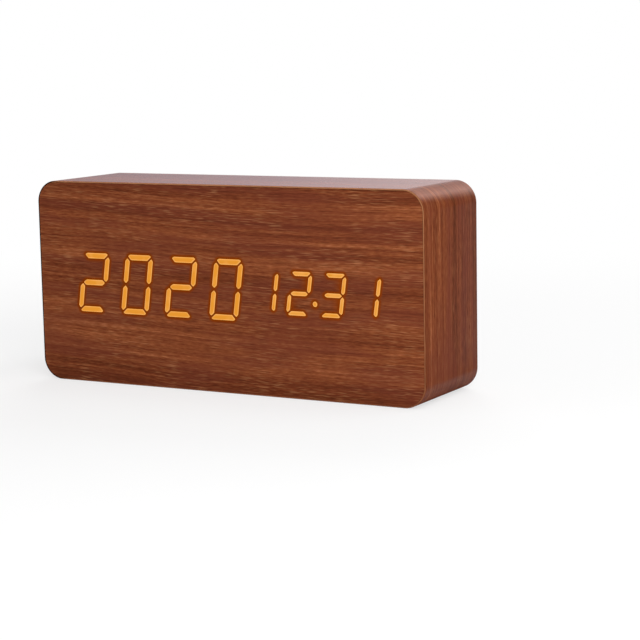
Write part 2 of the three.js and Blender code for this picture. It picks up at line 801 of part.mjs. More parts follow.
function panelTools() {
  const outside = panelOuterY + overrun;
  const inside = panelInnerY - overrun;
  const recessWidth = doorWidth + 2 * moveGap;
  const recessHeight = doorHeight + 2 * moveGap;
  const recess = roundedShape(bayX, middleZ, recessWidth, recessHeight, doorCornerRadius + moveGap);
  const notchZ = doorTopZ + moveGap + thumbNotchHeight / 2 - thumbNotchCornerRadius;
  const notchHeight = thumbNotchHeight + 2 * thumbNotchCornerRadius;
  const notch = roundedShape(bayX, notchZ, thumbNotchWidth, notchHeight, thumbNotchCornerRadius);
  const tools = [
    boxAt(bayX, middleZ, bayLength, bayHeight, bayFloorY, outside),
    slab(recess, doorInnerY - fitGap, outside),
    slab(notch, panelOuterY - thumbNotchDepth, outside),
    tabSlot(-1, 0),
    tabSlot(1, cellCount - 1),
  ];
  for (const side of [-1, 1]) {
    const x = bayX + (side * doorTabSpan) / 2;
    const reach = doorTabWidth / 2 + moveGap;
    const slotTopY = doorInnerY + doorTabThickness + moveGap;
    const slotBottomZ = doorBottomZ - doorTabReach - moveGap;
    tools.push(box(x - reach, x + reach, panelInnerY, slotTopY, slotBottomZ, middleZ - bayHeight / 2));
  }
  for (const [x, z] of panelScrewPlaces()) {
    tools.push(rod(x, z, panelScrew.shank + 2 * screwGap, inside, outside, smallSides));
    tools.push(rod(x, z, panelScrew.head + 2 * fitGap, panelScrewHeadY - seatGap, outside, showingSides));
  }
  for (const { x } of buttons) {
    tools.push(rod(x, buttonZ, buttonDiameter + 2 * moveGap, inside, outside, showingSides));
  }
  const pilotEndY = keyBoardFrontY - seatGap + keyScrew.length + pilotAllowance;
  for (const [x, z] of keyScrewPlaces()) {
    tools.push(rod(x, z, keyScrew.shank + 2 * screwGap, keyBoardFrontY, pilotEndY, smallSides));
  }
  const [plugX, plugZ] = socketPlace;
  const plugRecess = roundedShape(plugX, plugZ, plugRecessWidth, plugRecessHeight, plugRecessCornerRadius);
  const holeWidth = socketWidth + 2 * moveGap;
  const holeHeight = socketHeight + 2 * moveGap;
  const socketHole = roundedShape(plugX, plugZ, holeWidth, holeHeight, socketCornerRadius + moveGap);
  tools.push(slab(plugRecess, socketMouthY, outside), slab(socketHole, inside, outside));
  const [grilleX, grilleZ] = buzzerPlace;
  for (let i = 0; i < grilleSlotCount; i += 1) {
    const x = grilleX + (i - (grilleSlotCount - 1) / 2) * grilleSlotPitch;
    tools.push(boxAt(x, grilleZ, grilleSlotWidth, grilleSlotLength, inside, outside));
  }
  const [airX, airZ] = sensorPlace;
  for (let i = 0; i < sensorSlotCount; i += 1) {
    const z = airZ + (i - (sensorSlotCount - 1) / 2) * sensorSlotPitch;
    tools.push(boxAt(airX, z, sensorSlotLength, sensorSlotHeight, inside, outside));
  }
  const [soundX, soundZ] = microphonePlace;
  const collarBore = microphoneDiameter + 2 * fitGap;
  tools.push(rod(soundX, soundZ, microphoneHole, inside, outside, smallSides));
  tools.push(rod(soundX, soundZ, collarBore, panelInnerY - microphoneDepth - overrun, panelInnerY));
  return tools;
}

function controlPanel() {
  const outline = roundedShape(0, middleZ, panelWidth, panelHeight, panelCornerRadius);
  const rootY = panelInnerY + sink;
  const [soundX, soundZ] = microphonePlace;
  const collarDiameter = microphoneDiameter + 2 * (fitGap + microphoneCollarWall);
  const collarFrontY = panelInnerY - microphoneCollarHeight;
  const bayWidth = bayLength + 2 * bayWall;
  const solid = join([
    slab(outline, panelInnerY, panelOuterY),
    boxAt(bayX, middleZ, bayWidth, bayHeight + 2 * bayWall, bayBottomY, rootY),
    rod(soundX, soundZ, collarDiameter, collarFrontY, rootY),
    ...keyScrewPlaces().map(([x, z]) => rod(x, z, postDiameter, onKeyBoardY, rootY, smallSides)),
  ]);
  const ribs = [];
  for (let row = 1; row < cellCount; row += 1) {
    const z = (rowZ(row - 1) + rowZ(row)) / 2;
    const length = bayLength - 2 * springLength;
    ribs.push(boxAt(bayX, z, length, cellRibWidth, bayFloorY - sink, bayFloorY + cellRibHeight));
  }
  return join([cut(solid, panelTools()), ...ribs]);
}

// Battery cells lie in turn: the first and third point left, the second points right.

function cellSide(row) {
  return row % 2 === 0 ? -1 : 1;
}

function cell(row) {
  const side = cellSide(row);
  const shoulderY = cellLength - cellNubLength;
  const made = turned([
    [0, 0],
    [cellDiameter / 2, 0],
    [cellDiameter / 2, shoulderY - cellShoulder],
    [cellDiameter / 2 - cellShoulder, shoulderY],
    [cellNubDiameter / 2, shoulderY],
    [cellNubDiameter / 2, cellLength],
    [0, cellLength],
  ]);
  made.rotateZ((-side * Math.PI) / 2);
  const flatEndX = bayX - side * (bayLength / 2 - 2 * seatGap - contactThickness - springLength);
  made.translate(flatEndX, cellAxisY, rowZ(row));
  return made;
}

class ConeHelix extends THREE.Curve {
  constructor(startX, endX, y, z) {
    super();
    Object.assign(this, { startX, endX, y, z });
  }

  getPoint(t, target = new THREE.Vector3()) {
    const angle = 2 * Math.PI * springTurns * t;
    const radius = springBaseRadius + (springTipRadius - springBaseRadius) * t;
    const x = this.startX + (this.endX - this.startX) * t;
    return target.set(x, this.y + radius * Math.cos(angle), this.z + radius * Math.sin(angle));
  }
}

// A round wire or sleeve along a path.
function tube(path, diameter, steps, curveSegments) {
  const section = new THREE.Shape().absarc(0, 0, diameter / 2, 0, 2 * Math.PI, false);
  const settings = { steps, extrudePath: path, curveSegments, bevelEnabled: false };
  return new THREE.ExtrudeGeometry(section, settings);
}

// A contact plate at one end of the bay. It reaches over the given rows, holds a spring at each
// row whose cell has its flat end there, and may have a solder tab through the bay's floor.
function batteryContact(side, firstRow, lastRow, tabRow) {
  const x = contactX(side);
  const insideX = x - (side * contactThickness) / 2;
  const height = rowZ(firstRow) - rowZ(lastRow) + contactWidth;
  const z = (rowZ(firstRow) + rowZ(lastRow)) / 2;
  const pieces = [boxAt(x, z, contactThickness, height, bayFloorY + seatGap, cellAxisY + contactWidth / 2)];
  for (let row = firstRow; row <= lastRow; row += 1) {
    if (cellSide(row) !== side) {
      const startX = insideX - side * (springWire / 2 - sink);
      const endX = insideX - side * (springLength - springWire / 2);
      const path = new ConeHelix(startX, endX, cellAxisY, rowZ(row));
      pieces.push(tube(path, springWire, springTurns * springStepsPerTurn, springWireSteps));
    }
  }
  if (tabRow !== null) {
    const tabFrontY = bayBottomY - solderTabReach;
    pieces.push(boxAt(x, rowZ(tabRow), contactThickness, solderTabWidth, tabFrontY, bayFloorY + sink));
  }
  return join(pieces);
}

// The door tips out about its lower edge, where two tabs hook behind the panel.
function batteryDoor() {
  const outline = roundedShape(bayX, middleZ, doorWidth, doorHeight, doorCornerRadius);
  const tabs = [-1, 1].map((side) => {
    const x = bayX + (side * doorTabSpan) / 2;
    const z = doorBottomZ + (sink - doorTabReach) / 2;
    return boxAt(x, z, doorTabWidth, doorTabReach + sink, doorInnerY, doorInnerY + doorTabThickness);
  });
  const tools = [-1, 1].map((side) => {
    const x = bayX + (side * (latchWidth + latchSlot)) / 2;
    const z = doorTopZ + (overrun - latchHeight) / 2;
    return boxAt(x, z, latchSlot, latchHeight + overrun, doorInnerY - overrun, panelOuterY + overrun);
  });
  for (let i = 0; i < latchGrooveCount; i += 1) {
    const z = doorTopZ - (i + 1) * latchGroovePitch;
    const grooveLength = latchWidth - 2 * latchSlot;
    const grooveY = panelOuterY - latchGrooveDepth;
    tools.push(boxAt(bayX, z, grooveLength, latchGrooveWidth, grooveY, panelOuterY + overrun));
  }
  return cut(join([slab(outline, doorInnerY, panelOuterY), ...tabs]), tools);
}

// Key board, and the parts that stand on it.

function keyBoard() {
  const outline = roundedShape(keyBoardX, middleZ, keyBoardWidth, keyBoardHeight, keyBoardCornerRadius);
  const screwHole = keyScrew.shank + 2 * screwGap;
  const holes = keyScrewPlaces().map(([x, z]) => {
    return rod(x, z, screwHole, keyBoardFrontY - overrun, keyBoardBackY + overrun, smallSides);
  });
  return cut(slab(outline, keyBoardFrontY, keyBoardBackY), holes);
}

// A key's mark is a triangle that points up or down, or a square.
function keyMark(key, x) {
  const reach = buttonMarkSize / 2;
  if (key === "set") {
    return new THREE.Shape(placedAt(x, buttonZ, corners(0, 0, reach, reach)));
  }
  const tip = key === "up" ? reach : -reach;
  return new THREE.Shape(placedAt(x, buttonZ, [[-reach, -tip], [reach, -tip], [0, tip]]));
}

function placedAt(x, z, points) {
  return points.map(([u, v]) => new THREE.Vector2(x + u, z + v));
}

function buttonCap({ key, x }) {
  const capBackY = panelOuterY + buttonProud;
  const cap = turned([
    [0, stemFrontY],
    [buttonStemDiameter / 2, stemFrontY],
    [buttonStemDiameter / 2, shoulderFrontY],
    [buttonShoulderDiameter / 2, shoulderFrontY],
    [buttonShoulderDiameter / 2, shoulderBackY],
    [buttonDiameter / 2, shoulderBackY],
    [buttonDiameter / 2, capBackY - buttonEdge],
    [buttonDiameter / 2 - buttonEdge, capBackY],
    [0, capBackY],
  ]);
  cap.translate(x, 0, buttonZ);
  return cut(cap, [slab(keyMark(key, x), capBackY - buttonMarkDepth, capBackY + overrun)]);
}

function switchBody({ x }) {
  const footRise = (switchSize + switchFootReach) / 2;
  const feet = corners(x, buttonZ, switchFootPitch / 2, footRise).map(([footX, z]) => {
    const reach = switchFootReach + sink;
    return boxAt(footX, z, switchFootWidth, reach, onKeyBoardY, onKeyBoardY + switchFootThickness);
  });
  const wellFrontY = switchBackY - plungerSeat - buttonTravel - moveGap;
  const well = rod(x, buttonZ, plungerDiameter + 2 * moveGap, wellFrontY, switchBackY + overrun);
  return cut(join([boxAt(x, buttonZ, switchSize, switchSize, onKeyBoardY, switchBackY), ...feet]), [well]);
}

function switchPlunger({ x }) {
  return rod(x, buttonZ, plungerDiameter, switchBackY - plungerSeat, plungerBackY);
}

function powerSocket() {
  const [x, z] = socketPlace;
  const shell = roundedShape(x, z, socketWidth, socketHeight, socketCornerRadius);
  const mouthWidth = socketWidth - 2 * socketWall;
  const mouthHeight = socketHeight - 2 * socketWall;
  const mouth = roundedShape(x, z, mouthWidth, mouthHeight, socketCornerRadius - socketWall);
  const floorY = socketMouthY - socketDepth;
  const tongueY = socketMouthY - socketTongueSetback;
  const tongueZ = z + socketTongueRise;
  return join([
    cut(slab(shell, onKeyBoardY, socketMouthY), [slab(mouth, floorY, socketMouthY + overrun)]),
    boxAt(x, tongueZ, socketTongueWidth, socketTongueThickness, floorY - sink, tongueY),
  ]);
}

function alarmBuzzer() {
  const [x, z] = buzzerPlace;
  const topY = panelInnerY - buzzerClearance;
  const hole = rod(x, z, buzzerHoleDiameter, topY - buzzerHoleDepth, topY + overrun, smallSides);
  return cut(rod(x, z, buzzerDiameter, onKeyBoardY, topY), [hole]);
}

// Two leads that stand on the key board and run up into a part.
function partLeads(x, z, topY) {
  return [-1, 1].map((side) => {
    return rod(x + (side * partLeadPitch) / 2, z, partLeadDiameter, onKeyBoardY, topY + sink, smallSides);
  });
}

function microphone() {
  const [x, z] = microphonePlace;
  const backFaceY = panelInnerY - seatGap;
  const capsuleY = backFaceY - microphoneDepth;
  return join([rod(x, z, microphoneDiameter, capsuleY, backFaceY), ...partLeads(x, z, capsuleY)]);
}

function temperatureSensor() {
  const [x, z] = sensorPlace;
  const topY = panelInnerY - sensorClearance;
  const bottomY = topY - sensorLength;
  const round = sensorDiameter / 4;
  const bead = turned([
    [0, bottomY],
    [sensorDiameter / 2 - round, bottomY],
    [sensorDiameter / 2, bottomY + round],
    [sensorDiameter / 2, topY - round],
    [sensorDiameter / 2 - round, topY],
    [0, topY],
  ], smallSides);
  bead.translate(x, 0, z);
  return join([bead, ...partLeads(x, z, bottomY)]);
}

// Cables: a flat ribbon from board to board, and a lead from each end of the row of cells.

function ribbonCable() {
  const startY = displayBoardBackY + seatGap;
  const endY = keyBoardFrontY - seatGap;
  const startX = keyBoardX + keyBoardWidth / 2 - ribbonInset;
  const endX = startX + ribbonSwing;
  const bendY = (startY + endY) / 2;
  const path = new THREE.CubicBezierCurve3(
    new THREE.Vector3(startX, startY, middleZ),
    new THREE.Vector3(startX, bendY, middleZ),
    new THREE.Vector3(endX, bendY, middleZ),
    new THREE.Vector3(endX, endY, middleZ),
  );
  const section = new THREE.Shape(placedAt(0, 0, corners(0, 0, ribbonWidth / 2, ribbonThickness / 2)));
  const settings = { steps: ribbonSteps, extrudePath: path, bevelEnabled: false };
  return new THREE.ExtrudeGeometry(section, settings);
}

// The lead runs under the bay from its solder tab, then turns up to the key board.
function batteryLead(side, row) {
  const y = bayBottomY - fitGap - batteryLeadDiameter / 2;
  const startX = contactX(side) + contactThickness / 2 + seatGap;
  const endX = keyBoardLeftX + batteryLeadInset;
  const endY = keyBoardFrontY - seatGap;
  const z = rowZ(row);
  const path = new THREE.CurvePath();
  const bendStart = new THREE.Vector3(endX - batteryLeadBend, y, z);
  const bendCorner = new THREE.Vector3(endX, y, z);
  const bendEnd = new THREE.Vector3(endX, y + batteryLeadBend, z);
  path.add(new THREE.LineCurve3(new THREE.Vector3(startX, y, z), bendStart));
  path.add(new THREE.QuadraticBezierCurve3(bendStart, bendCorner, bendEnd));
  path.add(new THREE.LineCurve3(bendEnd, new THREE.Vector3(endX, endY, z)));
  return tube(path, batteryLeadDiameter, leadSteps, tubeSteps);
}

add("case_body", caseBody(), "fibreboard");
add("side_wrap", sideWrap(), "woodFilm");
add("front_film", frontFilm(), "woodFilm");
add("back_film", backFilm(), "woodFilm");

for (const digit of digits) {
  add(digit.name, digitGuide(digit), "amberLens");
}
add("date_dot", dotGuide(), "amberLens");
add("display_reflector", displayReflector(), "blackPlastic");
add("display_board", displayBoard(), "circuitBoard");
add("controller_chip", chip(controllerX, controllerLength, controllerLegCount), "chipResin");
add("display_driver_chip", chip(driverX, driverLength, driverLegCount), "chipResin");
add("clock_crystal", clockCrystal(), "steel");
add("smoothing_capacitor", smoothingCapacitor(), "chipResin");
displayScrewPlaces().forEach(([x, z], i) => {
  add(`display_screw_${i + 1}`, screw(x, z, displayScrewHeadY, -1, displayScrew, smallSides), "steel");
});

add("control_panel", controlPanel(), "blackPlastic");
panelScrewPlaces().forEach(([x, z], i) => {
  add(`panel_screw_${i + 1}`, screw(x, z, panelScrewHeadY, -1, panelScrew, roundSides), "steel");
});
add("battery_door", batteryDoor(), "blackPlastic");
for (let row = 0; row < cellCount; row += 1) {
  add(`battery_cell_${row + 1}`, cell(row), "cellJacket");
}
add("battery_contact_positive", batteryContact(-1, 0, 0, 0), "steel");
add("battery_contact_left_link", batteryContact(-1, 1, 2, null), "steel");
add("battery_contact_right_link", batteryContact(1, 0, 1, null), "steel");
add("battery_contact_negative", batteryContact(1, 2, 2, 2), "steel");

add("key_board", keyBoard(), "circuitBoard");
keyScrewPlaces().forEach(([x, z], i) => {
  const made = screw(x, z, keyBoardFrontY - seatGap, 1, keyScrew, smallSides);
  add(`key_board_screw_${i + 1}`, made, "steel");
});
for (const button of buttons) {
  add(`${button.key}_button`, buttonCap(button), "blackPlastic");
  add(`${button.key}_switch`, switchBody(button), "chipResin");
  add(`${button.key}_switch_plunger`, switchPlunger(button), "chipResin");
}
add("power_socket", powerSocket(), "steel");
add("alarm_buzzer", alarmBuzzer(), "chipResin");
add("microphone", microphone(), "steel");
add("temperature_sensor", temperatureSensor(), "sensorResin");
add("ribbon_cable", ribbonCable(), "greyRibbon");
add("battery_lead_red", batteryLead(-1, 0), "redSleeve");
add("battery_lead_black", batteryLead(1, cellCount - 1), "blackSleeve");

export default clock;
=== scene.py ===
# %% [markdown]
# # A wooden digital alarm clock
# The clock is a block of fibreboard wrapped in a printed walnut film. An amber calendar display
# glows through its front, and a black moulded panel with the keys, the power socket and the
# battery bay is let into its back. This notebook dresses the measured model of that clock: it
# keeps the parts inside as they are, and remakes each surface that shows as a fine mesh with a
# finish of its own.

# %% Load the measured model
import json
import math

import bmesh
import bpy
import numpy as np
from mathutils import Matrix, Vector
from mathutils.geometry import delaunay_2d_cdt


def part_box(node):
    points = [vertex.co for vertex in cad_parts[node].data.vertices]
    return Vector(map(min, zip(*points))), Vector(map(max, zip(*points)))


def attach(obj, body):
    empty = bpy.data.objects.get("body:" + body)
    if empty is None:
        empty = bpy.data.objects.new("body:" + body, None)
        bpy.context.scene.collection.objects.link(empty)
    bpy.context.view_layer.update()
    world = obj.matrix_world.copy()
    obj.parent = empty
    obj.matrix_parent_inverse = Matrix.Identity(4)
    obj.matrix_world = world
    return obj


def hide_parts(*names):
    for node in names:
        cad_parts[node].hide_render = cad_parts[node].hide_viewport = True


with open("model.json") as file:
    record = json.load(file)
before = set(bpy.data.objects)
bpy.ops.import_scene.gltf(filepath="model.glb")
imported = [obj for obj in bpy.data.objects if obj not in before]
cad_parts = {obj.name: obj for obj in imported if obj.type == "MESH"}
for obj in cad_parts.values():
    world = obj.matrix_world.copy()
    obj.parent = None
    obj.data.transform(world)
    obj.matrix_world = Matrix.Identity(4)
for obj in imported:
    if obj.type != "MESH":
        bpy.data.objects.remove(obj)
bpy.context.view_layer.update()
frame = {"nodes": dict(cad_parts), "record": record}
MM = 0.001


def box_mm(node):
    """The lowest corner, the highest corner and the middle of a node's box, in millimetres."""
    low, high = (np.array(corner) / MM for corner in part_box(node))
    return low, high, (low + high) / 2


def in_scene(name, data):
    """An object that puts a camera, a lamp or a mesh into the scene."""
    made = bpy.data.objects.new(name, data)
    bpy.context.scene.collection.objects.link(made)
    return made


print("nodes in the model:", len(frame["nodes"]))

# %% [markdown]
# ## The camera
# The camera stands in front of the clock, to its right and a little above it. A fit to the
# block's edges gave its place. The long lens keeps the vertical edges nearly parallel. Blender
# takes a lens in millimetres, which is the focal length in pixels times the sensor's width over
# the picture's width.

# %% Place the camera
PICTURE_PIXELS = 640
FOCAL_PIXELS = 1882.825
SENSOR_WIDTH = 36.0
CAMERA_AZIMUTH = math.radians(29.117)
CAMERA_ELEVATION = math.radians(8.481)
CAMERA_ROLL = math.radians(-1.106)
CAMERA_DISTANCE = 634.574 * MM
CAMERA_TARGET = Vector((26.017, 0, 23.405)) * MM

back = Vector((
    math.sin(CAMERA_AZIMUTH) * math.cos(CAMERA_ELEVATION),
    -math.cos(CAMERA_AZIMUTH) * math.cos(CAMERA_ELEVATION),
    math.sin(CAMERA_ELEVATION),
))
level_right = (-back).cross(Vector((0, 0, 1))).normalized()
level_up = level_right.cross(-back)
right = math.cos(CAMERA_ROLL) * level_right + math.sin(CAMERA_ROLL) * level_up
up = math.cos(CAMERA_ROLL) * level_up - math.sin(CAMERA_ROLL) * level_right
turn = Matrix((right, up, back)).transposed().to_4x4()

camera = in_scene("camera", bpy.data.cameras.new("camera"))
bpy.context.scene.camera = camera
camera.data.sensor_width = SENSOR_WIDTH
camera.data.lens = FOCAL_PIXELS * SENSOR_WIDTH / PICTURE_PIXELS
camera.matrix_world = Matrix.Translation(CAMERA_TARGET + back * CAMERA_DISTANCE) @ turn
print("lens in mm:", round(camera.data.lens, 1))

# %% [markdown]
# ## Nodes and colours
# Every finish below is a small node tree. One function adds a node, sets it up and links it, so
# that each finish reads as a list of its steps. Colours are written as sRGB hex codes, as a
# picture editor shows them, and one function turns them into the linear values that light needs.

# %% Colours and nodes
EASED = {"interpolation_type": "SMOOTHSTEP"}


def linear(code):
    """An sRGB hex code as linear RGBA: c / 12.92 near black, else ((c + 0.055) / 1.055) ** 2.4."""
    shown = np.array([int(code[i : i + 2], 16) for i in (1, 3, 5)]) / 255
    return (*np.where(shown <= 0.04045, shown / 12.92, ((shown + 0.055) / 1.055) ** 2.4), 1.0)


def feed(tree, node, sockets):
    """Gives each named or numbered input a value, a socket to link, or a node whose first output
    in use is linked."""
    for key, value in sockets.items():
        if isinstance(value, bpy.types.Node):
            value = next(output for output in value.outputs if output.enabled)
        if isinstance(value, bpy.types.NodeSocket):
            tree.links.new(value, node.inputs[key])
        else:
            node.inputs[key].default_value = value


def add(tree, kind, sockets=None, stops=(), **settings):
    """Adds one node, with its properties, its inputs, and a colour ramp's stops: positions, each
    with a hex code or a grey."""
    node = tree.nodes.new("ShaderNode" + kind)
    for name, value in settings.items():
        setattr(node, name, value)
    feed(tree, node, sockets or {})
    for i, (position, tone) in enumerate(stops):
        elements = node.color_ramp.elements
        stop = elements[i] if i < len(elements) else elements.new(position)
        stop.position = position
        stop.color = linear(tone) if isinstance(tone, str) else (tone, tone, tone, 1)
    return node


# %% Start a material
def material_with(name, **sockets):
    """A material, its nodes, its shader and the place that its patterns read, in metres. The
    keywords set the shader's inputs, with _ for each space."""
    material = bpy.data.materials.new(name)
    material.use_nodes = True
    tree = material.node_tree
    shader = tree.nodes["Principled BSDF"]
    feed(tree, shader, {key.replace("_", " "): value for key, value in sockets.items()})
    return material, tree, shader, add(tree, "TexCoord").outputs["Object"]


# %% [markdown]
# ## Studio light and floor
# The clock stands in a white room, and the camera sees pure white all round. The light that falls
# on the clock is set apart from that: a dimmer world and four soft panels. A large panel near the
# right front corner is the main light, so the front grows a little darker to the left.
#
# What a glossy surface mirrors is set apart too, and it is not even. Low in the room there is a
# cool window left of the middle, which the top of the clock shows. Above it on the right there is
# a warm lamp, which lies as a broad sheen on the corner. The floor near the clock gives no glow
# to a mirror, so the foot of the block stays dark.

# %% Rays that only look
def looking(tree):
    """The Light Path node, and 1 for a ray that only looks: one from the camera, one that a glossy
    surface sends out, or one through a clear surface. Light on a surface gets 0."""
    rays = add(tree, "LightPath")
    seen = rays.outputs["Is Camera Ray"]
    for kind in ("Is Glossy Ray", "Is Transmission Ray"):
        seen = add(tree, "Math", {0: seen, 1: rays.outputs[kind]}, operation="MAXIMUM")
    return rays, seen


# %% World
WHITE = (1, 1, 1, 1)
ROOM_LIGHT = 0.28
MIRRORED = 4.5
# A stop is how far to the right a direction points, from 0 to 1, and the tone that is seen there.
COOL_WINDOW = ((0.175, "#68656b"), (0.25, "#8d8990"), (0.29, "#ada5a7"), (0.35, "#818181"))
WARM_LAMP = (
    (0.325, "#827979"), (0.400, "#978682"), (0.500, "#c5aca4"), (0.600, "#efcec4"),
    (0.650, "#ffe5da"), (0.700, "#e7d4cb"), (0.760, "#818181"),
)
WINDOW_TOP, LAMP_FOOT = 0.12, 0.28

world = bpy.data.worlds.new("white room")
bpy.context.scene.world = world
world.use_nodes = True
tree = world.node_tree
tree.nodes.clear()
rays, seen = looking(tree)
lit = add(tree, "Background", {"Color": WHITE, "Strength": ROOM_LIGHT})
shown = add(tree, "Background", {"Color": WHITE, "Strength": 1.0})
room = add(tree, "MixShader", {0: seen, 1: lit, 2: shown})
towards = add(tree, "SeparateXYZ", {0: add(tree, "TexCoord").outputs["Generated"]})
across = add(tree, "MapRange", {0: towards.outputs["X"], 1: -1})
higher = add(tree, "MapRange", {0: towards.outputs["Z"], 1: WINDOW_TOP, 2: LAMP_FOOT})
low = add(tree, "ValToRGB", {0: across}, stops=COOL_WINDOW)
high = add(tree, "ValToRGB", {0: across}, stops=WARM_LAMP)
sides = add(tree, "Mix", {"Factor": higher, "A": low, "B": high}, data_type="RGBA")
mirrored = add(tree, "Background", {"Color": sides, "Strength": MIRRORED})
room = add(tree, "MixShader", {0: rays.outputs["Is Glossy Ray"], 1: room, 2: mirrored})
add(tree, "OutputWorld", {"Surface": room})

# %% Light panels
BLOCK_MIDDLE = Vector((0, 0, 0.035))
# A square panel's place and side in metres, and its power in watts. All face the block.
PANELS = {
    "main panel": ((0.42, -0.46, 0.32), 0.30, 3.3),
    "left panel": ((-0.75, -0.55, 0.50), 0.60, 0.7),
    "back panel": ((-0.30, 0.80, 0.55), 0.60, 4.4),
    "top panel": ((0.30, 0.10, 0.60), 0.40, 1.3),
}
for name, (place, side, watts) in PANELS.items():
    lamp = bpy.data.lights.new(name, "AREA")
    lamp.size = side
    lamp.energy = watts
    panel = in_scene(name, lamp)
    panel.location = place
    panel.rotation_euler = (BLOCK_MIDDLE - Vector(place)).to_track_quat("-Z", "Y").to_euler()
    panel.visible_camera = False
    panel.visible_glossy = False

# %% Floor
# The paper keeps the clock's shadow. The camera sees it brighten to pure white further out.
FLOOR_REACH = 3.0
FLOOR_DROP = 0.0001
FLOOR_GLOW = 0.66
FLOOR_NEAR, FLOOR_FAR = 0.10, 0.45
floor_mesh = bpy.data.meshes.new("floor")
floor_signs = ((-1, -1), (1, -1), (1, 1), (-1, 1))
floor_points = [(x * FLOOR_REACH, y * FLOOR_REACH, -FLOOR_DROP) for x, y in floor_signs]
floor_mesh.from_pydata(floor_points, [], [(0, 1, 2, 3)])
in_scene("floor", floor_mesh)

floor_material, tree, shader, place = material_with(
    "white paper floor", Base_Color=linear("#f2f2f2"), Roughness=1.0, Specular_IOR_Level=0.0
)
rays, seen = looking(tree)
away = add(tree, "VectorMath", {0: place}, operation="LENGTH")
near_glow = add(tree, "MapRange", {0: rays.outputs["Is Glossy Ray"], 3: FLOOR_GLOW, 4: 0})
fade = add(tree, "MapRange", {0: away, 1: FLOOR_NEAR, 2: FLOOR_FAR, 3: near_glow}, **EASED)
share = add(tree, "Math", {0: seen, 1: fade}, operation="MULTIPLY")
glow = add(tree, "Emission", {"Color": WHITE, "Strength": 1.0})
blend = add(tree, "MixShader", {0: share, 1: shader, 2: glow})
feed(tree, tree.nodes["Material Output"], {"Surface": blend})
floor_mesh.materials.append(floor_material)
bpy.context.scene.view_settings.view_transform = "Standard"

# %% [markdown]
# ## Meshes from rings
# Most pieces here are a row of rings: a cap is a row of circles, a wire is a row of small circles
# along a path, and the film round the block is its thin section carried along the block's
# outline. So one function makes the skin over matching rings. It works on whole arrays, closes
# both ends, and turns the skin the right way out by the sign of the volume that it holds.

# %% A closed skin over rings
def volume(points, faces):
    """The volume inside a closed mesh: the sum of a . (b x c) / 6 over its triangles."""
    corners = np.array([(f[0], f[i], f[i + 1]) for f in faces for i in range(1, len(f) - 1)])
    a, b, c = (points[corners[:, i]] for i in range(3))
    return float((a * np.cross(b, c)).sum() / 6)


def outwards(points, faces):
    """The same mesh with its faces turned the right way out."""
    return points, faces if volume(points, faces) > 0 else [face[::-1] for face in faces]


def skin(rings):
    """Points and faces of a closed surface over rings, an array of shape (rings, points, 3).
    Quads join each ring to the next, and fans close the first and the last to their middles."""
    rings = np.asarray(rings, float)
    rows, around = rings.shape[:2]
    here = np.arange(rows * around).reshape(rows, around)
    beside = np.roll(here, -1, axis=1)
    quads = np.stack([here[:-1], beside[:-1], beside[1:], here[1:]], axis=-1).reshape(-1, 4)
    ends = np.full((2, around), rows * around) + [[0], [1]]
    fans = np.concatenate([
        np.stack([beside[0], here[0], ends[0]], axis=-1),
        np.stack([here[-1], beside[-1], ends[1]], axis=-1),
    ])
    points = np.concatenate([rings.reshape(-1, 3), rings[[0, -1]].mean(axis=1)])
    return outwards(points, [*quads.tolist(), *fans.tolist()])


def together(parts):
    """Several (points, faces) pairs as one."""
    points = np.concatenate([part[0] for part in parts])
    starts = np.cumsum([0] + [len(part[0]) for part in parts])
    faces = [[i + start for i in face] for (_, fs), start in zip(parts, starts) for face in fs]
    return points, faces


# %% From arrays to a piece of the clock
SMOOTH_UNDER = math.radians(35)


def dressed(name, mesh, body, replaced):
    """Shows a mesh as a piece that rides on a body and stands for the nodes that it replaces."""
    made = in_scene(name, mesh)
    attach(made, body)
    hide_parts(*replaced)
    return made


def piece(name, shape, body, replaced, material):
    """A piece from points in millimetres, shaded smooth where its faces turn gently."""
    points, faces = shape
    mesh = bpy.data.meshes.new(name)
    mesh.from_pydata(np.asarray(points) * MM, [], faces)
    mesh.polygons.foreach_set("use_smooth", np.ones(len(mesh.polygons), bool))
    mesh.set_sharp_from_angle(angle=SMOOTH_UNDER)
    mesh.materials.append(material)
    print(f"{name}: {len(faces)} faces, {volume(points, faces) / 1000:.3f} cm3")
    return dressed(name, mesh, body, replaced)


def point_values(made, name, values):
    """Stores one number a point on a piece, for its material to read."""
    attribute = made.data.attributes.new(name, "FLOAT", "POINT")
    attribute.data.foreach_set("value", np.asarray(values, np.float32))


# %% [markdown]
# ## Walnut film
# The "wood" is a thin plastic film with a walnut print, pressed onto the block. Its look comes
# from layers, from coarse to fine: zones that run the whole length, bands some centimetres long
# and a few millimetres wide, streaks, fibres about a millimetre wide, hair lines finer than that,
# and last the short pale flecks and dark pores. Each layer is smooth noise stretched along the
# grain. The film's matt lacquer hardly shines from the front and turns pale where it is seen at a
# low angle, as on the top, so its coat grows with the angle. Near the foot it is rubbed dull.

# %% One layer of grain
def grain(tree, place, along, across, detail, seed):
    """Noise whose cells are `along` by `across` millimetres, on a place given in millimetres."""
    stretch = {0: place, 1: (1 / along, 1 / across, 0), 2: (seed, seed / 2, 0)}
    cells = add(tree, "VectorMath", stretch, operation="MULTIPLY_ADD")
    noise = {"Vector": cells, "Scale": 1.0, "Detail": detail}
    return add(tree, "TexNoise", noise, noise_dimensions="2D")


# %% What the print is made of
# A layer is its cells' length and width in millimetres, its detail and its share of the tone. The
# hair lines are drawn as coarse as a picture of the whole clock can show them.
BAND_SHARE, STREAK_SHARE = 0.42, 0.44
FIBRES = (80, 0.75, 1.0, 0.46)
HAIR_LINES = (2.5, 0.36, 2.0, 0.54)
PRINT = ((0, "#45210f"), (0.3, "#622f1b"), (0.5, "#763d24"), (0.7, "#8a4c2d"), (1, "#b0714a"))
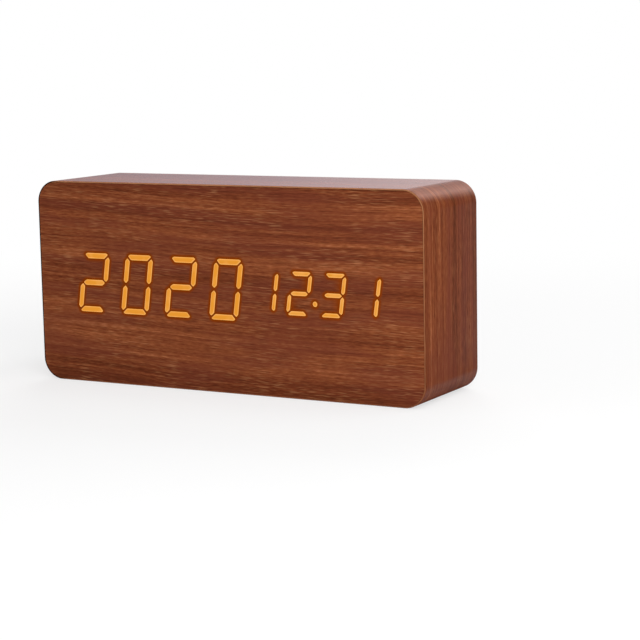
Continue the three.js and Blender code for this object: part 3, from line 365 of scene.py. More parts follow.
# A mark is its cells' length and width, its own seed, the noise at which it starts and is full,
# and its least and its most strength. Flecks gather in patches.
MARKS = {
    "purple": (50, 6, 41, 0.42, 0.62, 0.0, 0.5),
    "patches": (26, 7, 43, 0.40, 0.65, 0.15, 1.0),
    "flecks": (6, 0.36, 47, 0.54, 0.76, 0.0, 0.36),
    "pores": (9, 0.36, 53, 0.56, 0.76, 0.0, 0.4),
}
# The grain wanders sideways in slow and quick waves: cells in millimetres and reach.
DRIFT_CELLS, DRIFT_REACH = (70, 22), 2.0
RIPPLE_CELLS, RIPPLE_REACH = (30, 12), 0.6
WANDER_MIDDLE = 1.4
# The coat shows from one angle on and is full at the next, where 1 is edge on.
SHEEN_START, SHEEN_FULL = 0.562, 0.64
GRAZING_GLOSS, RUBBED_GLOSS = 0.5, 0.05
RUBBED_FOOT, RUBBED_TOP = 1, 12


# %% The walnut print
def walnut(name, find_place, zones, wave, band, streak, seed, flecked, finish=None):
    """The printed film. `find_place` gives millimetres along the grain in X and across it in Y.
    `zones` are (across, tone) stops over the film's width: where the print is darker or lighter.
    `wave` is how far the grain wanders, `band` and `streak` are (along, across) cells, and
    `flecked` is how strong the pale flecks are where they lie thickest."""
    material, tree, shader, place = material_with(
        name, Roughness=0.4, Specular_IOR_Level=0.0, Coat_Roughness=0.2
    )
    in_mm = add(tree, "VectorMath", {0: place, "Scale": 1 / MM}, operation="SCALE")
    spot = add(tree, "SeparateXYZ", {0: in_mm})
    turned_away = add(tree, "LayerWeight", {"Blend": 0.5}).outputs["Facing"]
    rub = {0: spot.outputs["Z"], 1: RUBBED_FOOT, 2: RUBBED_TOP, 3: RUBBED_GLOSS, 4: GRAZING_GLOSS}
    coat = {0: turned_away, 1: SHEEN_START, 2: SHEEN_FULL, 4: add(tree, "MapRange", rub)}
    gloss = add(tree, "MapRange", coat, **EASED)

    place = find_place(tree, spot)
    drift = grain(tree, place, *DRIFT_CELLS, 1.0, seed)
    drift = {0: drift, 1: DRIFT_REACH * wave, 2: -WANDER_MIDDLE * wave}
    drift = add(tree, "Math", drift, operation="MULTIPLY_ADD")
    ripple = grain(tree, place, *RIPPLE_CELLS, 0.0, seed + 3)
    shift = {0: ripple, 1: RIPPLE_REACH * wave, 2: drift}
    shift = add(tree, "Math", shift, operation="MULTIPLY_ADD")
    sideways = add(tree, "CombineXYZ", {"Y": shift})
    waved = add(tree, "VectorMath", {0: place, 1: sideways}, operation="ADD")

    across = add(tree, "SeparateXYZ", {0: waved}).outputs["Y"]
    low, high = zones[0][0], zones[-1][0]
    zone_stops = [((height - low) / (high - low), tone) for height, tone in zones]
    zone_place = add(tree, "MapRange", {0: across, 1: low, 2: high})
    tone = add(tree, "ValToRGB", {0: zone_place}, stops=zone_stops)
    layers = [(*band, 2.0, BAND_SHARE), (*streak, 1.0, STREAK_SHARE), FIBRES, HAIR_LINES]
    for i, (length, width, detail, share) in enumerate(layers):
        layer = grain(tree, waved, length, width, detail, seed + 11 + 6 * i)
        centred = add(tree, "Math", {0: layer, 1: share, 2: -share / 2}, operation="MULTIPLY_ADD")
        tone = add(tree, "Math", {0: tone, 1: centred}, operation="ADD")
    colour = add(tree, "ValToRGB", {0: tone}, stops=PRINT)

    marks = {}
    for mark, (length, width, own, start, full, least, most) in MARKS.items():
        noise = grain(tree, waved, length, width, 1.0, seed + own)
        strength = flecked if mark == "patches" else 1
        shares = {0: noise, 1: start, 2: full, 3: least * strength, 4: most * strength}
        marks[mark] = add(tree, "MapRange", shares)
    flecks = add(tree, "Math", {0: marks["flecks"], 1: marks["patches"]}, operation="MULTIPLY")
    pores = marks["pores"]
    for share, tint in ((marks["purple"], "#683224"), (flecks, "#bd8458"), (pores, "#3c1a0d")):
        tinted = {"Factor": share, "A": colour, "B": linear(tint)}
        colour = add(tree, "Mix", tinted, data_type="RGBA")
    # A last layer, if given, paints light onto the print: a glow round the lights, or highlight and
    # shade on a cut edge.
    if finish:
        colour = finish(tree, spot, colour)
    relief = add(tree, "Math", {0: flecks, 1: pores}, operation="SUBTRACT")
    bump = add(tree, "Bump", {"Height": relief, "Strength": 0.3, "Distance": 0.04 * MM})
    feed(tree, shader, {"Base Color": colour, "Normal": bump, "Coat Weight": gloss})
    return material


# %% Where the grain lies
GRAIN_FALL = 4.7
FALL_START, FALL_END = -110, 40


def flat_place(tree, spot):
    """On a face in the XZ plane the grain runs along X. At the left it lies a little higher, and
    it falls gently to its level at the right."""
    x, z = spot.outputs["X"], spot.outputs["Z"]
    fall = add(tree, "MapRange", {0: x, 1: FALL_START, 2: FALL_END, 3: GRAIN_FALL, 4: 0}, **EASED)
    height = add(tree, "Math", {0: z, 1: fall}, operation="SUBTRACT")
    return add(tree, "CombineXYZ", {"X": x, "Y": height})


def wrapped_place(tree, _):
    """Round the sides the grain runs along the film, which its own UV map measures in metres."""
    film_place = add(tree, "UVMap", uv_map="film")
    return add(tree, "VectorMath", {0: film_place, "Scale": 1 / MM}, operation="SCALE")


# %% Painted glow round the lights, painted light and shade on the cut edge
# The painted glow fades out between these distances from a light, in mm.
HALO_START, HALO_END = 0.2, 1.3
# The cut edge's pale tint, partly painted highlight, grows up to EDGE_TOP mm. Painted shade darkens
# the edge at the left and on its back half.
EDGE_TOP = 70
LOW_EDGE, HIGH_EDGE = 0.25, 0.8
EDGE_SHADE_LEFT = (-70, -64)
EDGE_SHADE_BEHIND = (-2, 2)


def painted_glow_halo(tree, _, colour):
    """Painted glow: the film round each lit shape is tinted deep orange brown for about 1 mm."""
    distance = add(tree, "Attribute", attribute_name="lit_distance").outputs["Fac"]
    glow_share = add(tree, "MapRange", {0: distance, 1: HALO_START, 2: HALO_END, 3: 1, 4: 0}, **EASED)
    # The deep orange brown is painted glow, in place of the light that a bar spills into the film.
    glowing_film = {"Factor": glow_share, "A": colour, "B": linear("#7d3302")}
    return add(tree, "Mix", glowing_film, data_type="RGBA")


def edge_highlight_and_shade(tree, spot, colour):
    """The cut edge of the wrap is paler than its face, partly its own colour and partly painted
    highlight, which grows up the block. Painted shade darkens it on the left and at the back."""
    edge = add(tree, "Attribute", attribute_name="cut_edge").outputs["Fac"]
    x, y, z = (spot.outputs[axis] for axis in "XYZ")
    pale = add(tree, "MapRange", {0: z, 1: 0, 2: EDGE_TOP, 3: LOW_EDGE, 4: HIGH_EDGE})
    left = add(tree, "MapRange", {0: x, 1: EDGE_SHADE_LEFT[0], 2: EDGE_SHADE_LEFT[1], 3: 1, 4: 0})
    behind = add(tree, "MapRange", {0: y, 1: EDGE_SHADE_BEHIND[0], 2: EDGE_SHADE_BEHIND[1]})
    painted_edge_shade = add(tree, "Math", {0: left, 1: behind}, operation="MAXIMUM")
    # The tan is the edge's own paler colour with painted highlight on it. The near black is painted
    # shade.
    for where, tint in ((pale, "#ac7650"), (painted_edge_shade, "#27150f")):
        share = add(tree, "Math", {0: where, 1: edge}, operation="MULTIPLY")
        tinted = {"Factor": share, "A": colour, "B": linear(tint)}
        colour = add(tree, "Mix", tinted, data_type="RGBA")
    return colour


# %% Three sheets of walnut film
FRONT_ZONES = (
    (0, 0.34), (5, 0.43), (8, 0.57), (12, 0.63), (20, 0.50), (25, 0.54),
    (34, 0.47), (44, 0.55), (56, 0.46), (64, 0.52), (67, 0.39), (70, 0.31),
)
WRAP_ZONES = (
    (-20, 0.42), (-16.5, 0.66), (-14, 0.52), (-11, 0.44), (-8.5, 0.50), (-7, 0.52),
    (-4.5, 0.58), (-1, 0.46), (2.5, 0.34), (7, 0.38), (13, 0.33), (20, 0.38),
)
flat_film = (flat_place, FRONT_ZONES, 1.0, (500, 5), (240, 2.0))
round_film = (wrapped_place, WRAP_ZONES, 0.6, (160, 3), (110, 0.9))
front_walnut = walnut("walnut film, front", *flat_film, 5.0, 1.0, painted_glow_halo)
back_walnut = walnut("walnut film, back", *flat_film, 61.0, 1.0)
wrap_walnut = walnut("walnut film, wrap", *round_film, 23.0, 0.5, edge_highlight_and_shade)

# %% [markdown]
# ## The film round the block
# One strip of film runs round the right side, the top, the left side and the base, and its ends
# meet on the base. The strip is its thin section, with edges rounded as a trimming knife leaves
# them, carried along the block's rounded outline. Its UV map holds real distances: along the
# outline in U and from front to back in V, so the grain bends round the corners without a seam.

# %% Outlines with round corners
def rounded_rectangle(centre, size, radius, steps):
    """Four quarter circles, hub + radius * (cos t, sin t), anticlockwise from the lower right.
    It gives the points and the outward direction at each."""
    signs = np.array([(1, -1), (1, 1), (-1, 1), (-1, -1)])
    hubs = np.array(centre) + signs * (np.array(size) / 2 - radius)
    starts = np.array([-1, 0, 1, 2]) * np.pi / 2
    angles = starts[:, None] + np.linspace(0, np.pi / 2, steps + 1)
    outward = np.stack([np.cos(angles), np.sin(angles)], axis=-1)
    return (hubs[:, None] + radius * outward).reshape(-1, 2), outward.reshape(-1, 2)


# %% Keep flat faces flat
PROP = 0.12


def propped(points, closed=False):
    """Adds two points on each long edge of a line, PROP mm from its ends. The smooth shading of a
    soft corner then ends there, and the flat face beside it stays flat."""
    following = np.roll(points, -1, axis=0) if closed else points[1:]
    result = []
    for a, b in zip(points, following):
        length = np.linalg.norm(b - a)
        result.append(a)
        if length > 4 * PROP:
            step = (b - a) * PROP / length
            result += [a + step, b - step]
    return np.array(result if closed else [*result, points[-1]])


# %% Carry the film's section along the outline
CORNER_RADIUS = 7.5
CORNER_STEPS = 24
FILM_THICKNESS = 0.5
FILM_EDGE_RADIUS, FILM_EDGE_STEPS = 0.18, 3
SEAM_X, SEAM_WIDTH = 45.0, 0.2

block_low, block_high, block_middle = box_mm("side_wrap")
block_size = block_high - block_low
front_y, back_y = block_low[1], block_high[1]
face_middle, face_size = block_middle[[0, 2]], block_size[[0, 2]]

outline, outward = rounded_rectangle(face_middle, face_size, CORNER_RADIUS, CORNER_STEPS)
seam = np.array([(SEAM_X + SEAM_WIDTH / 2, 0), (SEAM_X - SEAM_WIDTH / 2, 0)])
down = np.array([(0, -1)])
line = np.hstack([
    np.concatenate([seam[:1], outline, seam[1:]]), np.concatenate([down, outward, down])
])
path, path_outward = np.hsplit(propped(line), 2)
section_middle, section_size = (-FILM_THICKNESS / 2, 0), (FILM_THICKNESS, block_size[1])
section, _ = rounded_rectangle(section_middle, section_size, FILM_EDGE_RADIUS, FILM_EDGE_STEPS)
section = propped(section, closed=True)
in_plane = path[:, None] + path_outward[:, None] * section[None, :, :1]
depths = np.broadcast_to(section[:, 1], in_plane.shape[:2])
rings = np.stack([in_plane[..., 0], depths, in_plane[..., 1]], axis=-1)
wrap = piece("side_film", skin(rings), "case", ["side_wrap"], wrap_walnut)

# %% Measure the film into its UV map
travelled = np.concatenate([[0], np.cumsum(np.linalg.norm(np.diff(path, axis=0), axis=1))])
along = np.broadcast_to(travelled[:, None], depths.shape).ravel()
places = np.stack([along, depths.ravel()], axis=-1)
places = np.concatenate([places, [(travelled[0], 0), (travelled[-1], 0)]])
corner_points = np.zeros(len(wrap.data.loops), np.int32)
wrap.data.loops.foreach_get("vertex_index", corner_points)
film_map = wrap.data.uv_layers.new(name="film")
film_map.data.foreach_set("uv", (places[corner_points] * MM).astype(np.float32).ravel())
edge_depth = block_size[1] / 2 - FILM_EDGE_RADIUS / 2
point_values(wrap, "cut_edge", np.abs(places[:, 1]) > edge_depth)
print("film length in mm:", round(float(travelled[-1]), 1))

# %% [markdown]
# ## Seven-segment shapes
# Each figure leans to the right and is drawn with up to seven bars. A bar's ends are cut on the
# slant where it meets its neighbours, and all its corners are soft, because the light spreads a
# little in the film. The same outline serves twice: as the window in the film, and a tenth of a
# millimetre smaller as the light behind it.

# %% The corners of a bar
SEGMENT_GAP = 0.5
TIP_REACH = 0.3
BAR_TIP_SHARE = 0.25
BAR_SHOULDER_SHARE = 0.44
POST_TIP_SHARE = 0.39
POST_SHOULDER_SHARE = 0.54
POST_FOOT_SHARE = 0.4
LIT_SEGMENTS = {"0": "abcdef", "1": "bc", "2": "abdeg", "3": "abcdg"}


def bar_corners(letter, width, height, stroke):
    """The corners of one bar about its figure's centre, before the figure leans. Bars a to f run
    clockwise from the top, and g is the middle one. The others are mirror images of a, b and g."""
    side = width / 2
    top = height / 2
    mitre = SEGMENT_GAP / math.sqrt(2)
    bar_end = side - BAR_TIP_SHARE * stroke - mitre
    post_end = top - POST_TIP_SHARE * stroke - mitre
    shoulder = bar_end - BAR_SHOULDER_SHARE * stroke
    inner = side - stroke - mitre
    middle = side - stroke / 2 - mitre
    if letter in "ad":
        tip = top - BAR_TIP_SHARE * stroke
        shape = [(bar_end, tip), (shoulder, top), (-shoulder, top), (-bar_end, tip)]
        shape += [(-inner, top - stroke), (inner, top - stroke)]
    elif letter == "g":
        flat = middle - stroke / 2
        tip = middle + TIP_REACH
        shape = [(tip, 0), (flat, stroke / 2), (-flat, stroke / 2), (-tip, 0)]
        shape += [(-flat, -stroke / 2), (flat, -stroke / 2)]
    else:
        shape = [(side, SEGMENT_GAP + POST_FOOT_SHARE * stroke)]
        shape += [(side, post_end - POST_SHOULDER_SHARE * stroke)]
        shape += [(side - POST_TIP_SHARE * stroke, post_end), (side - stroke, top - stroke - mitre)]
        shape += [(side - stroke, stroke / 2 + mitre)]
        shape += [(side - stroke / 2, SEGMENT_GAP - TIP_REACH)]
    mirror = np.array([-1 if letter in "ef" else 1, -1 if letter in "cde" else 1])
    corners = np.array(shape) * mirror
    return corners if mirror.prod() > 0 else corners[::-1]


# %% Grow an outline and soften its corners
EDGE_SHARE = 0.45


def grown(corners, distance):
    """Moves each edge of an anticlockwise convex outline outwards, and meets the moved lines."""
    edges = np.roll(corners, -1, axis=0) - corners
    normals = np.stack([edges[:, 1], -edges[:, 0]], axis=-1)
    normals /= np.linalg.norm(normals, axis=1, keepdims=True)
    offsets = (normals * corners).sum(axis=1) + distance
    before, offset_before = np.roll(normals, 1, axis=0), np.roll(offsets, 1)
    crossed = before[:, 0] * normals[:, 1] - before[:, 1] * normals[:, 0]
    x = (offset_before * normals[:, 1] - offsets * before[:, 1]) / crossed
    z = (offsets * before[:, 0] - offset_before * normals[:, 0]) / crossed
    return np.stack([x, z], axis=-1)


def softened(corners, radius, steps=6):
    """Turns each corner C into the curve (1-t)^2 A + 2t(1-t) C + t^2 B between the points A and B
    at which a circle of that radius would touch its edges, or EDGE_SHARE of an edge away from it
    if that is nearer."""
    to_last = np.roll(corners, 1, axis=0) - corners
    to_next = np.roll(corners, -1, axis=0) - corners
    last_length = np.linalg.norm(to_last, axis=1, keepdims=True)
    next_length = np.linalg.norm(to_next, axis=1, keepdims=True)
    cosine = (to_last * to_next).sum(axis=1, keepdims=True) / (last_length * next_length)
    reach = radius * np.sqrt((1 + cosine) / (1 - cosine))
    reach = np.minimum(reach, EDGE_SHARE * np.minimum(last_length, next_length))
    a = (corners + to_last / last_length * reach)[:, None]
    b = (corners + to_next / next_length * reach)[:, None]
    t = np.linspace(0, 1, steps)[None, :, None]
    curve = (1 - t) ** 2 * a + 2 * t * (1 - t) * corners[:, None] + t**2 * b
    return curve.reshape(-1, 2)


# %% Figures in their places
DIGIT_LEAN = math.tan(math.radians(8))
PLATE_MARGIN = 0.2
YEAR_STROKE, DATE_STROKE = 1.99, 1.50
SEGMENT_SOFTNESS = 0.65
DOT_RADIUS, DOT_SIDES, DOT_DROP = 0.93, 36, 3.15
figures = {f"year_digit_{i + 1}": (c, YEAR_STROKE) for i, c in enumerate("2020")}
figures.update({f"date_digit_{i + 1}": (c, DATE_STROKE) for i, c in enumerate("1231")})


def lit_corners(node):
    """The corner outlines of a figure's lit bars, leaning and in place. A light guide's plate is
    a little larger than its figure, and that gives the figure's centre and size."""
    figure, stroke = figures[node]
    low, high, centre = box_mm(node)
    plate_height = high[2] - low[2]
    width = high[0] - low[0] - DIGIT_LEAN * plate_height - 2 * PLATE_MARGIN
    height = plate_height - 2 * PLATE_MARGIN
    bars = []
    for letter in LIT_SEGMENTS[figure]:
        corners = bar_corners(letter, width, height, stroke)
        leaning = corners + corners[:, 1:] * [DIGIT_LEAN, 0]
        bars.append(leaning + centre[[0, 2]])
    return bars


def circle(centre, radius, sides):
    """centre + radius * (cos t, sin t), anticlockwise."""
    turn = np.arange(sides) / sides * 2 * np.pi
    return np.array(centre) + radius * np.stack([np.cos(turn), np.sin(turn)], axis=-1)


# %% Every light's outline
dot_place = box_mm("date_dot")[2][[0, 2]] - DOT_DROP * np.array([DIGIT_LEAN, 1])


def bar_light(bar):
    """A function that gives one bar's soft outline, grown by a distance."""
    return lambda distance: softened(grown(bar, distance), SEGMENT_SOFTNESS + distance)


def dot_light(distance):
    """The dot's outline, grown by a distance."""
    return circle(dot_place, DOT_RADIUS + distance, DOT_SIDES)


lights = {node: [bar_light(bar) for bar in lit_corners(node)] for node in figures}
print("lit bars:", sum(len(outlines) for outlines in lights.values()))
lights["date_dot"] = [dot_light]

# %% [markdown]
# ## The front film
# The front is one flat sheet with a window for each lit bar. A constrained triangulation fills
# the sheet between its outline and the windows, so every window keeps its exact curve. Rings of
# points round the windows carry the distance to the nearest light, which the walnut film reads.

# %% How far each point is from a set of outlines
POINTS_AT_ONCE = 2000


def signed_distance(points, loops):
    """The distance from each point to the nearest edge of any loop, negative inside. A point is
    inside if a line from it to the right crosses an odd number of edges."""
    start = np.concatenate(loops)
    edge = np.concatenate([np.roll(loop, -1, axis=0) for loop in loops]) - start
    result = []
    for some in np.array_split(points, max(1, len(points) // POINTS_AT_ONCE)):
        away = some[:, None] - start
        share = np.clip((away * edge).sum(-1) / (edge**2).sum(-1), 0, 1)
        nearest = np.linalg.norm(away - share[..., None] * edge, axis=-1).min(axis=1)
        above = away[..., 1] >= 0
        straddles = above != (away[..., 1] >= edge[:, 1])
        rise = np.where(edge[:, 1] == 0, 1, edge[:, 1])
        left_of_edge = away[..., 0] < away[..., 1] / rise * edge[:, 0]
        inside = (straddles & left_of_edge).sum(axis=1) % 2 == 1
        result.append(np.where(inside, -nearest, nearest))
    return np.concatenate(result)


# %% A flat sheet with windows
# Two points nearer than this, in millimetres, would count as one.
SAME_POINT = 1e-6


def sheet(outline, windows, inner_points, near, far):
    """A sheet in the XZ plane between two depths. Triangles fill the face at `near`, the same
    triangles turned over make the face at `far`, and a strip of quads closes each loop."""
    loops = [outline, *[window[::-1] for window in windows]]
    flat = np.concatenate([*loops, inner_points])
    starts = np.cumsum([0] + [len(loop) for loop in loops])
    here = np.arange(starts[-1])
    following = np.concatenate([
        np.roll(here[a:b], -1) for a, b in zip(starts[:-1], starts[1:])
    ])
    edges = np.stack([here, following], axis=-1).tolist()
    made = delaunay_2d_cdt([Vector(p) for p in flat], edges, [], 0, SAME_POINT)
    assert len(made[0]) == len(flat)
    source = np.array([sources[0] for sources in made[3]])
    triangles = source[np.array(made[2])]
    centres = flat[triangles].mean(axis=1)
    triangles = triangles[signed_distance(centres, loops) < 0]
    count = len(flat)
    points = np.concatenate([np.insert(flat, 1, depth, axis=1) for depth in (near, far)])
    walls = np.stack([here, here + count, following + count, following], axis=-1)
    turned_over = triangles[:, ::-1] + count
    return outwards(points, [*triangles.tolist(), *turned_over.tolist(), *walls.tolist()])


def grid_points(low, high, spacing):
    """The points of an even grid inside a rectangle."""
    counts = np.maximum(2, np.ceil((np.array(high) - low) / spacing).astype(int))
    x, z = (np.linspace(a, b, n + 1)[1:-1] for a, b, n in zip(low, high, counts))
    return np.stack(np.meshgrid(x, z), axis=-1).reshape(-1, 2)


# %% Cut the windows and lay the film
# Rings of points lie this far from the lights. Where two lights are close, a ring's points that
# come nearer to one than RING_SHARE of that are left out. Even points fill the rest.
RING_DISTANCES = (0.35, 0.65, 1.0, 1.5)
RING_SHARE = 0.9
GRID_SPACING = 3.0
GRID_START = RING_DISTANCES[-1] + 0.8
ROOM_AT_EDGE = 1.0
FILM_JOINT = 0.02

inner_size = face_size - 2 * (FILM_THICKNESS + FILM_JOINT)
inner_radius = CORNER_RADIUS - FILM_THICKNESS - FILM_JOINT
film_outline, _ = rounded_rectangle(face_middle, inner_size, inner_radius, CORNER_STEPS)
grid = grid_points(face_middle - inner_size / 2, face_middle + inner_size / 2, GRID_SPACING)


def light_outlines(distance):
    """The outlines of all the lit bars and the dot, grown by a distance."""
    return [outline_at(distance) for outlines in lights.values() for outline_at in outlines]


windows = light_outlines(0)
guides = []
for distance in RING_DISTANCES:
    ring = np.concatenate(light_outlines(distance))
    guides.append(ring[signed_distance(ring, windows) > RING_SHARE * distance])
plain = grid[signed_distance(grid, windows) > GRID_START]
inner_points = np.concatenate([*guides, plain])
inner_points = inner_points[signed_distance(inner_points, [film_outline]) < -ROOM_AT_EDGE]
front_shape = sheet(film_outline, windows, inner_points, front_y, front_y + FILM_THICKNESS)
front = piece("front_sheet", front_shape, "case", ["front_film"], front_walnut)
distances = signed_distance(front_shape[0][:, [0, 2]], windows)
point_values(front, "lit_distance", np.maximum(distances, 0))

# %% [markdown]
# ## Amber lights
# Behind each window a small light guide of clear amber plastic comes up flush with the film. Its
# face is a flat island with a slightly rounded rim, and the light is a little paler at that rim,
# where the film's edge scatters it. So each guide is a stack of its own outline, and its points
# carry a value, 1 on the round rim and 0 elsewhere, that the material turns to colour.

# %% The guides' material
amber, tree, shader, place = material_with(
    "amber acrylic, lit", Base_Color=linear("#3a1c05"), Roughness=0.35, Specular_IOR_Level=0.1,
    Emission_Strength=1.0, IOR=1.49,
)
rim = add(tree, "Attribute", attribute_name="rim").outputs["Fac"]
# The light is not quite even: soft patches about 4 mm wide, from the chips behind the guide.
patches = add(tree, "TexNoise", {"Vector": place, "Scale": 1 / (4 * MM), "Detail": 1.0})
evenness = add(tree, "MapRange", {0: patches, 1: 0.35, 2: 0.65, 3: -0.25, 4: 0.25})
share = add(tree, "Math", {0: rim, 1: evenness}, operation="ADD", use_clamp=True)
tones = {"Factor": share, "A": linear("#e0922b"), "B": linear("#f1ae5c")}
feed(tree, shader, {"Emission Color": add(tree, "Mix", tones, data_type="RGBA")})

# %% Stand each lit bar on its plate
FACE_DEPTH = 0.02
RIM_HEIGHT = 0.1
PLATE_THICKNESS = 0.45
STEM_OVERLAP = 0.1
DATE_PALENESS = 0.2
# Each step gives how far the outline grows, how high it stands over the rim's foot, and the rim
# value there.
GUIDE_STEPS = (
    (-0.1, -0.12, 0.0), (-0.1, 0.0, 0.0), (-0.13, 0.08, 1.0), (-0.22, RIM_HEIGHT, 1.0),
    (-0.5, RIM_HEIGHT, 0.0),
)


def raised_bar(outline_at, stem_back):
    """A guide's stem and face, with their rim values. `outline_at` gives the light's outline
    grown by a distance."""
    foot = front_y + FACE_DEPTH + RIM_HEIGHT
    rings = [np.insert(outline_at(GUIDE_STEPS[0][0]), 1, stem_back, axis=1)]
    values = [0.0]
    for growth, height, value in GUIDE_STEPS:
        rings.append(np.insert(outline_at(growth), 1, foot - height, axis=1))
        values.append(value)
    return skin(rings), np.concatenate([np.repeat(values, len(rings[0])), [0.0, 0.0]])


def light_guide(name, node, outlines):
    """One figure's guide: its raised bars and the thin leaning plate that joins them. The date
    is paler all over."""
    low, high, _ = box_mm(node)
    plate_front = high[1] - PLATE_THICKNESS
    lean = DIGIT_LEAN * (high[2] - low[2])
    corners = [(low[0], low[2]), (high[0] - lean, low[2])]
    corners += [(high[0], high[2]), (low[0] + lean, high[2])]
    plate = skin([np.insert(corners, 1, depth, axis=1) for depth in (plate_front, high[1])])
    bars = [raised_bar(outline_at, plate_front + STEM_OVERLAP) for outline_at in outlines]
    shape = together([*[bar for bar, _ in bars], plate])
    values = np.concatenate([*[value for _, value in bars], np.zeros(len(plate[0]))])
    made = piece(name, shape, "case", [node], amber)
    point_values(made, "rim", values + (DATE_PALENESS if "date" in node else 0))


for node, outlines in lights.items():
    name = "dot_light" if node == "date_dot" else node.replace("digit", "light")
    light_guide(name, node, outlines)

# %% [markdown]
# ## The back film
# The back is the same sheet with one large window, which the black panel sits in, a little way
# below the surface.

# %% Lay the back film
PANEL_FIT = 0.2
PANEL_CORNER_RADIUS = 3.0
panel_low, panel_high, panel_middle = box_mm("control_panel")
hole_size = (panel_high - panel_low)[[0, 2]] + 2 * PANEL_FIT
hole_radius = PANEL_CORNER_RADIUS + PANEL_FIT
hole, _ = rounded_rectangle(panel_middle[[0, 2]], hole_size, hole_radius, CORNER_STEPS // 2)
back_points = grid[signed_distance(grid, [film_outline]) < -ROOM_AT_EDGE]
back_points = back_points[signed_distance(back_points, [hole]) > ROOM_AT_EDGE]
back_shape = sheet(film_outline, [hole], back_points, back_y, back_y - FILM_THICKNESS)
piece("back_sheet", back_shape, "case", ["back_film"], back_walnut)

# %% [markdown]
# ## Black moulded plastic
# The panel, the battery lid and the keys are ABS, moulded in a mould whose steel was spark
# eroded. That leaves a fine even stipple, so the black looks dark grey and hardly shines. The
# stipple is real relief in the steel, about 0.3 mm from peak to peak, and here it is a bump map.

# %% Black ABS
GRIT = 0.3 * MM
GRIT_DEPTH = 0.02 * MM
WAVE_HEIGHT = 0.6


def abs_plastic(name, dark, pale, roughness):
    """Moulded ABS, stippled with round cells over soft waves ten times as wide. Worn peaks are a
    touch paler than the hollows. It also gives the colour, for a mark to be painted over."""
    material, tree, shader, place = material_with(name, IOR=1.54, Specular_IOR_Level=0.35)
    cells = add(tree, "TexVoronoi", {"Vector": place, "Scale": 1 / GRIT}, feature="SMOOTH_F1")
    waves = add(tree, "TexNoise", {"Vector": place, "Scale": 0.1 / GRIT, "Detail": 2.0})
    height = {0: waves, 1: WAVE_HEIGHT, 2: cells}
    height = add(tree, "Math", height, operation="MULTIPLY_ADD")
    bump = add(tree, "Bump", {"Height": height, "Strength": 0.5, "Distance": GRIT_DEPTH})
    tone = add(tree, "Math", {0: cells, 1: waves}, operation="MULTIPLY")
    tones = {"Factor": tone, "A": linear(pale), "B": linear(dark)}
    shade = add(tree, "Mix", tones, data_type="RGBA")
    sheen = {0: waves, 1: 0.3, 2: 0.7, 3: roughness - 0.05, 4: roughness + 0.05}
    sheen = add(tree, "MapRange", sheen)
    feed(tree, shader, {"Base Color": shade, "Roughness": sheen, "Normal": bump})
    return material, tree, shader, shade


black_abs = abs_plastic("black ABS, spark texture", "#161617", "#242426", 0.5)[0]

# %% Keys carry a painted mark
key_abs, tree, shader, shade = abs_plastic("black ABS, painted mark", "#19191a", "#29292b", 0.42)
paint = add(tree, "Attribute", attribute_name="paint").outputs["Fac"]
painted = {"Factor": paint, "A": shade, "B": linear("#b9b7b1")}
feed(tree, shader, {"Base Color": add(tree, "Mix", painted, data_type="RGBA")})

# %% [markdown]
# ## Panel and battery lid
# These two mouldings have many holes, slots and steps that the model already has in the right
# places. Their meshes are loose triangles, so each is copied, merged into whole faces, and its
# edges are rounded a little by a Bevel modifier, as a mould leaves them.

# %% Round a moulding's edges
MERGE_UNDER = 0.001 * MM
FLAT_UNDER = math.radians(0.5)
BEVEL_OVER = math.radians(40)
MOULD_RADIUS = 0.12 * MM


def moulded(name, node, body):
    """A copy of a node as whole faces, with every sharp edge rounded. Only a face that turns
    gently into a neighbour is shaded smooth, so flat faces stay even."""
    merged = bmesh.new()
    merged.from_mesh(frame["nodes"][node].data)
    bmesh.ops.remove_doubles(merged, verts=merged.verts, dist=MERGE_UNDER)
    bmesh.ops.dissolve_limit(
        merged, angle_limit=FLAT_UNDER, verts=merged.verts, edges=merged.edges
    )
    curved = []
    for face in merged.faces:
        angles = [edge.calc_face_angle(0) for edge in face.edges]
        curved.append(any(2 * FLAT_UNDER < angle < SMOOTH_UNDER for angle in angles))
    mesh = bpy.data.meshes.new(name)
    merged.to_mesh(mesh)
    merged.free()
    mesh.set_sharp_from_angle(angle=SMOOTH_UNDER)
    mesh.polygons.foreach_set("use_smooth", curved)
    mesh.materials.append(black_abs)
    made = dressed(name, mesh, body, [node])
    rounding = made.modifiers.new("mould radius", "BEVEL")
    rounding.width = MOULD_RADIUS
    rounding.segments = 2
    rounding.limit_method = "ANGLE"
    rounding.angle_limit = BEVEL_OVER
    print(f"{name}: {len(mesh.polygons)} faces before its edges are rounded")


moulded("rear_panel", "control_panel", "case")
moulded("battery_lid", "battery_door", "door")

# %% [markdown]
# ## Turned pieces
# Keys, screws and cells are round, so each is a lathe shape: a profile of (radius, height)
# points turned about an axis. A profile's corners get small arcs first. Where the end face has a
# mark or a cross recess, the face is a fine polar grid whose heights are pushed in by a function.

# %% Profiles and lathes
SHORTEST_STEP = 1e-5
# The signed distance of a point that no mark or cross may push in.
OUTSIDE = 1.0


def soft_profile(points, steps=4):
    """Rounds the corners of an open profile. Each point is (radius, height, round-over)."""
    points = np.array(points, float)
    rounding = points[:, 2:].copy()
    rounding[[0, -1]] = 0
    curve = softened(points[:, :2], rounding, steps)
    keep = np.linalg.norm(np.diff(curve, axis=0), axis=1) > SHORTEST_STEP
    return propped(np.concatenate([curve[:1], curve[1:][keep]]))


def turned(profile, sides):
    """Circles about the Y axis: (r cos t, height, r sin t) for each profile point."""
    turn = np.arange(sides) / sides * 2 * np.pi
    radius, height = np.asarray(profile)[:, 0, None], np.asarray(profile)[:, 1, None]
    return np.stack([radius * np.cos(turn), height + 0 * turn, radius * np.sin(turn)], axis=-1)


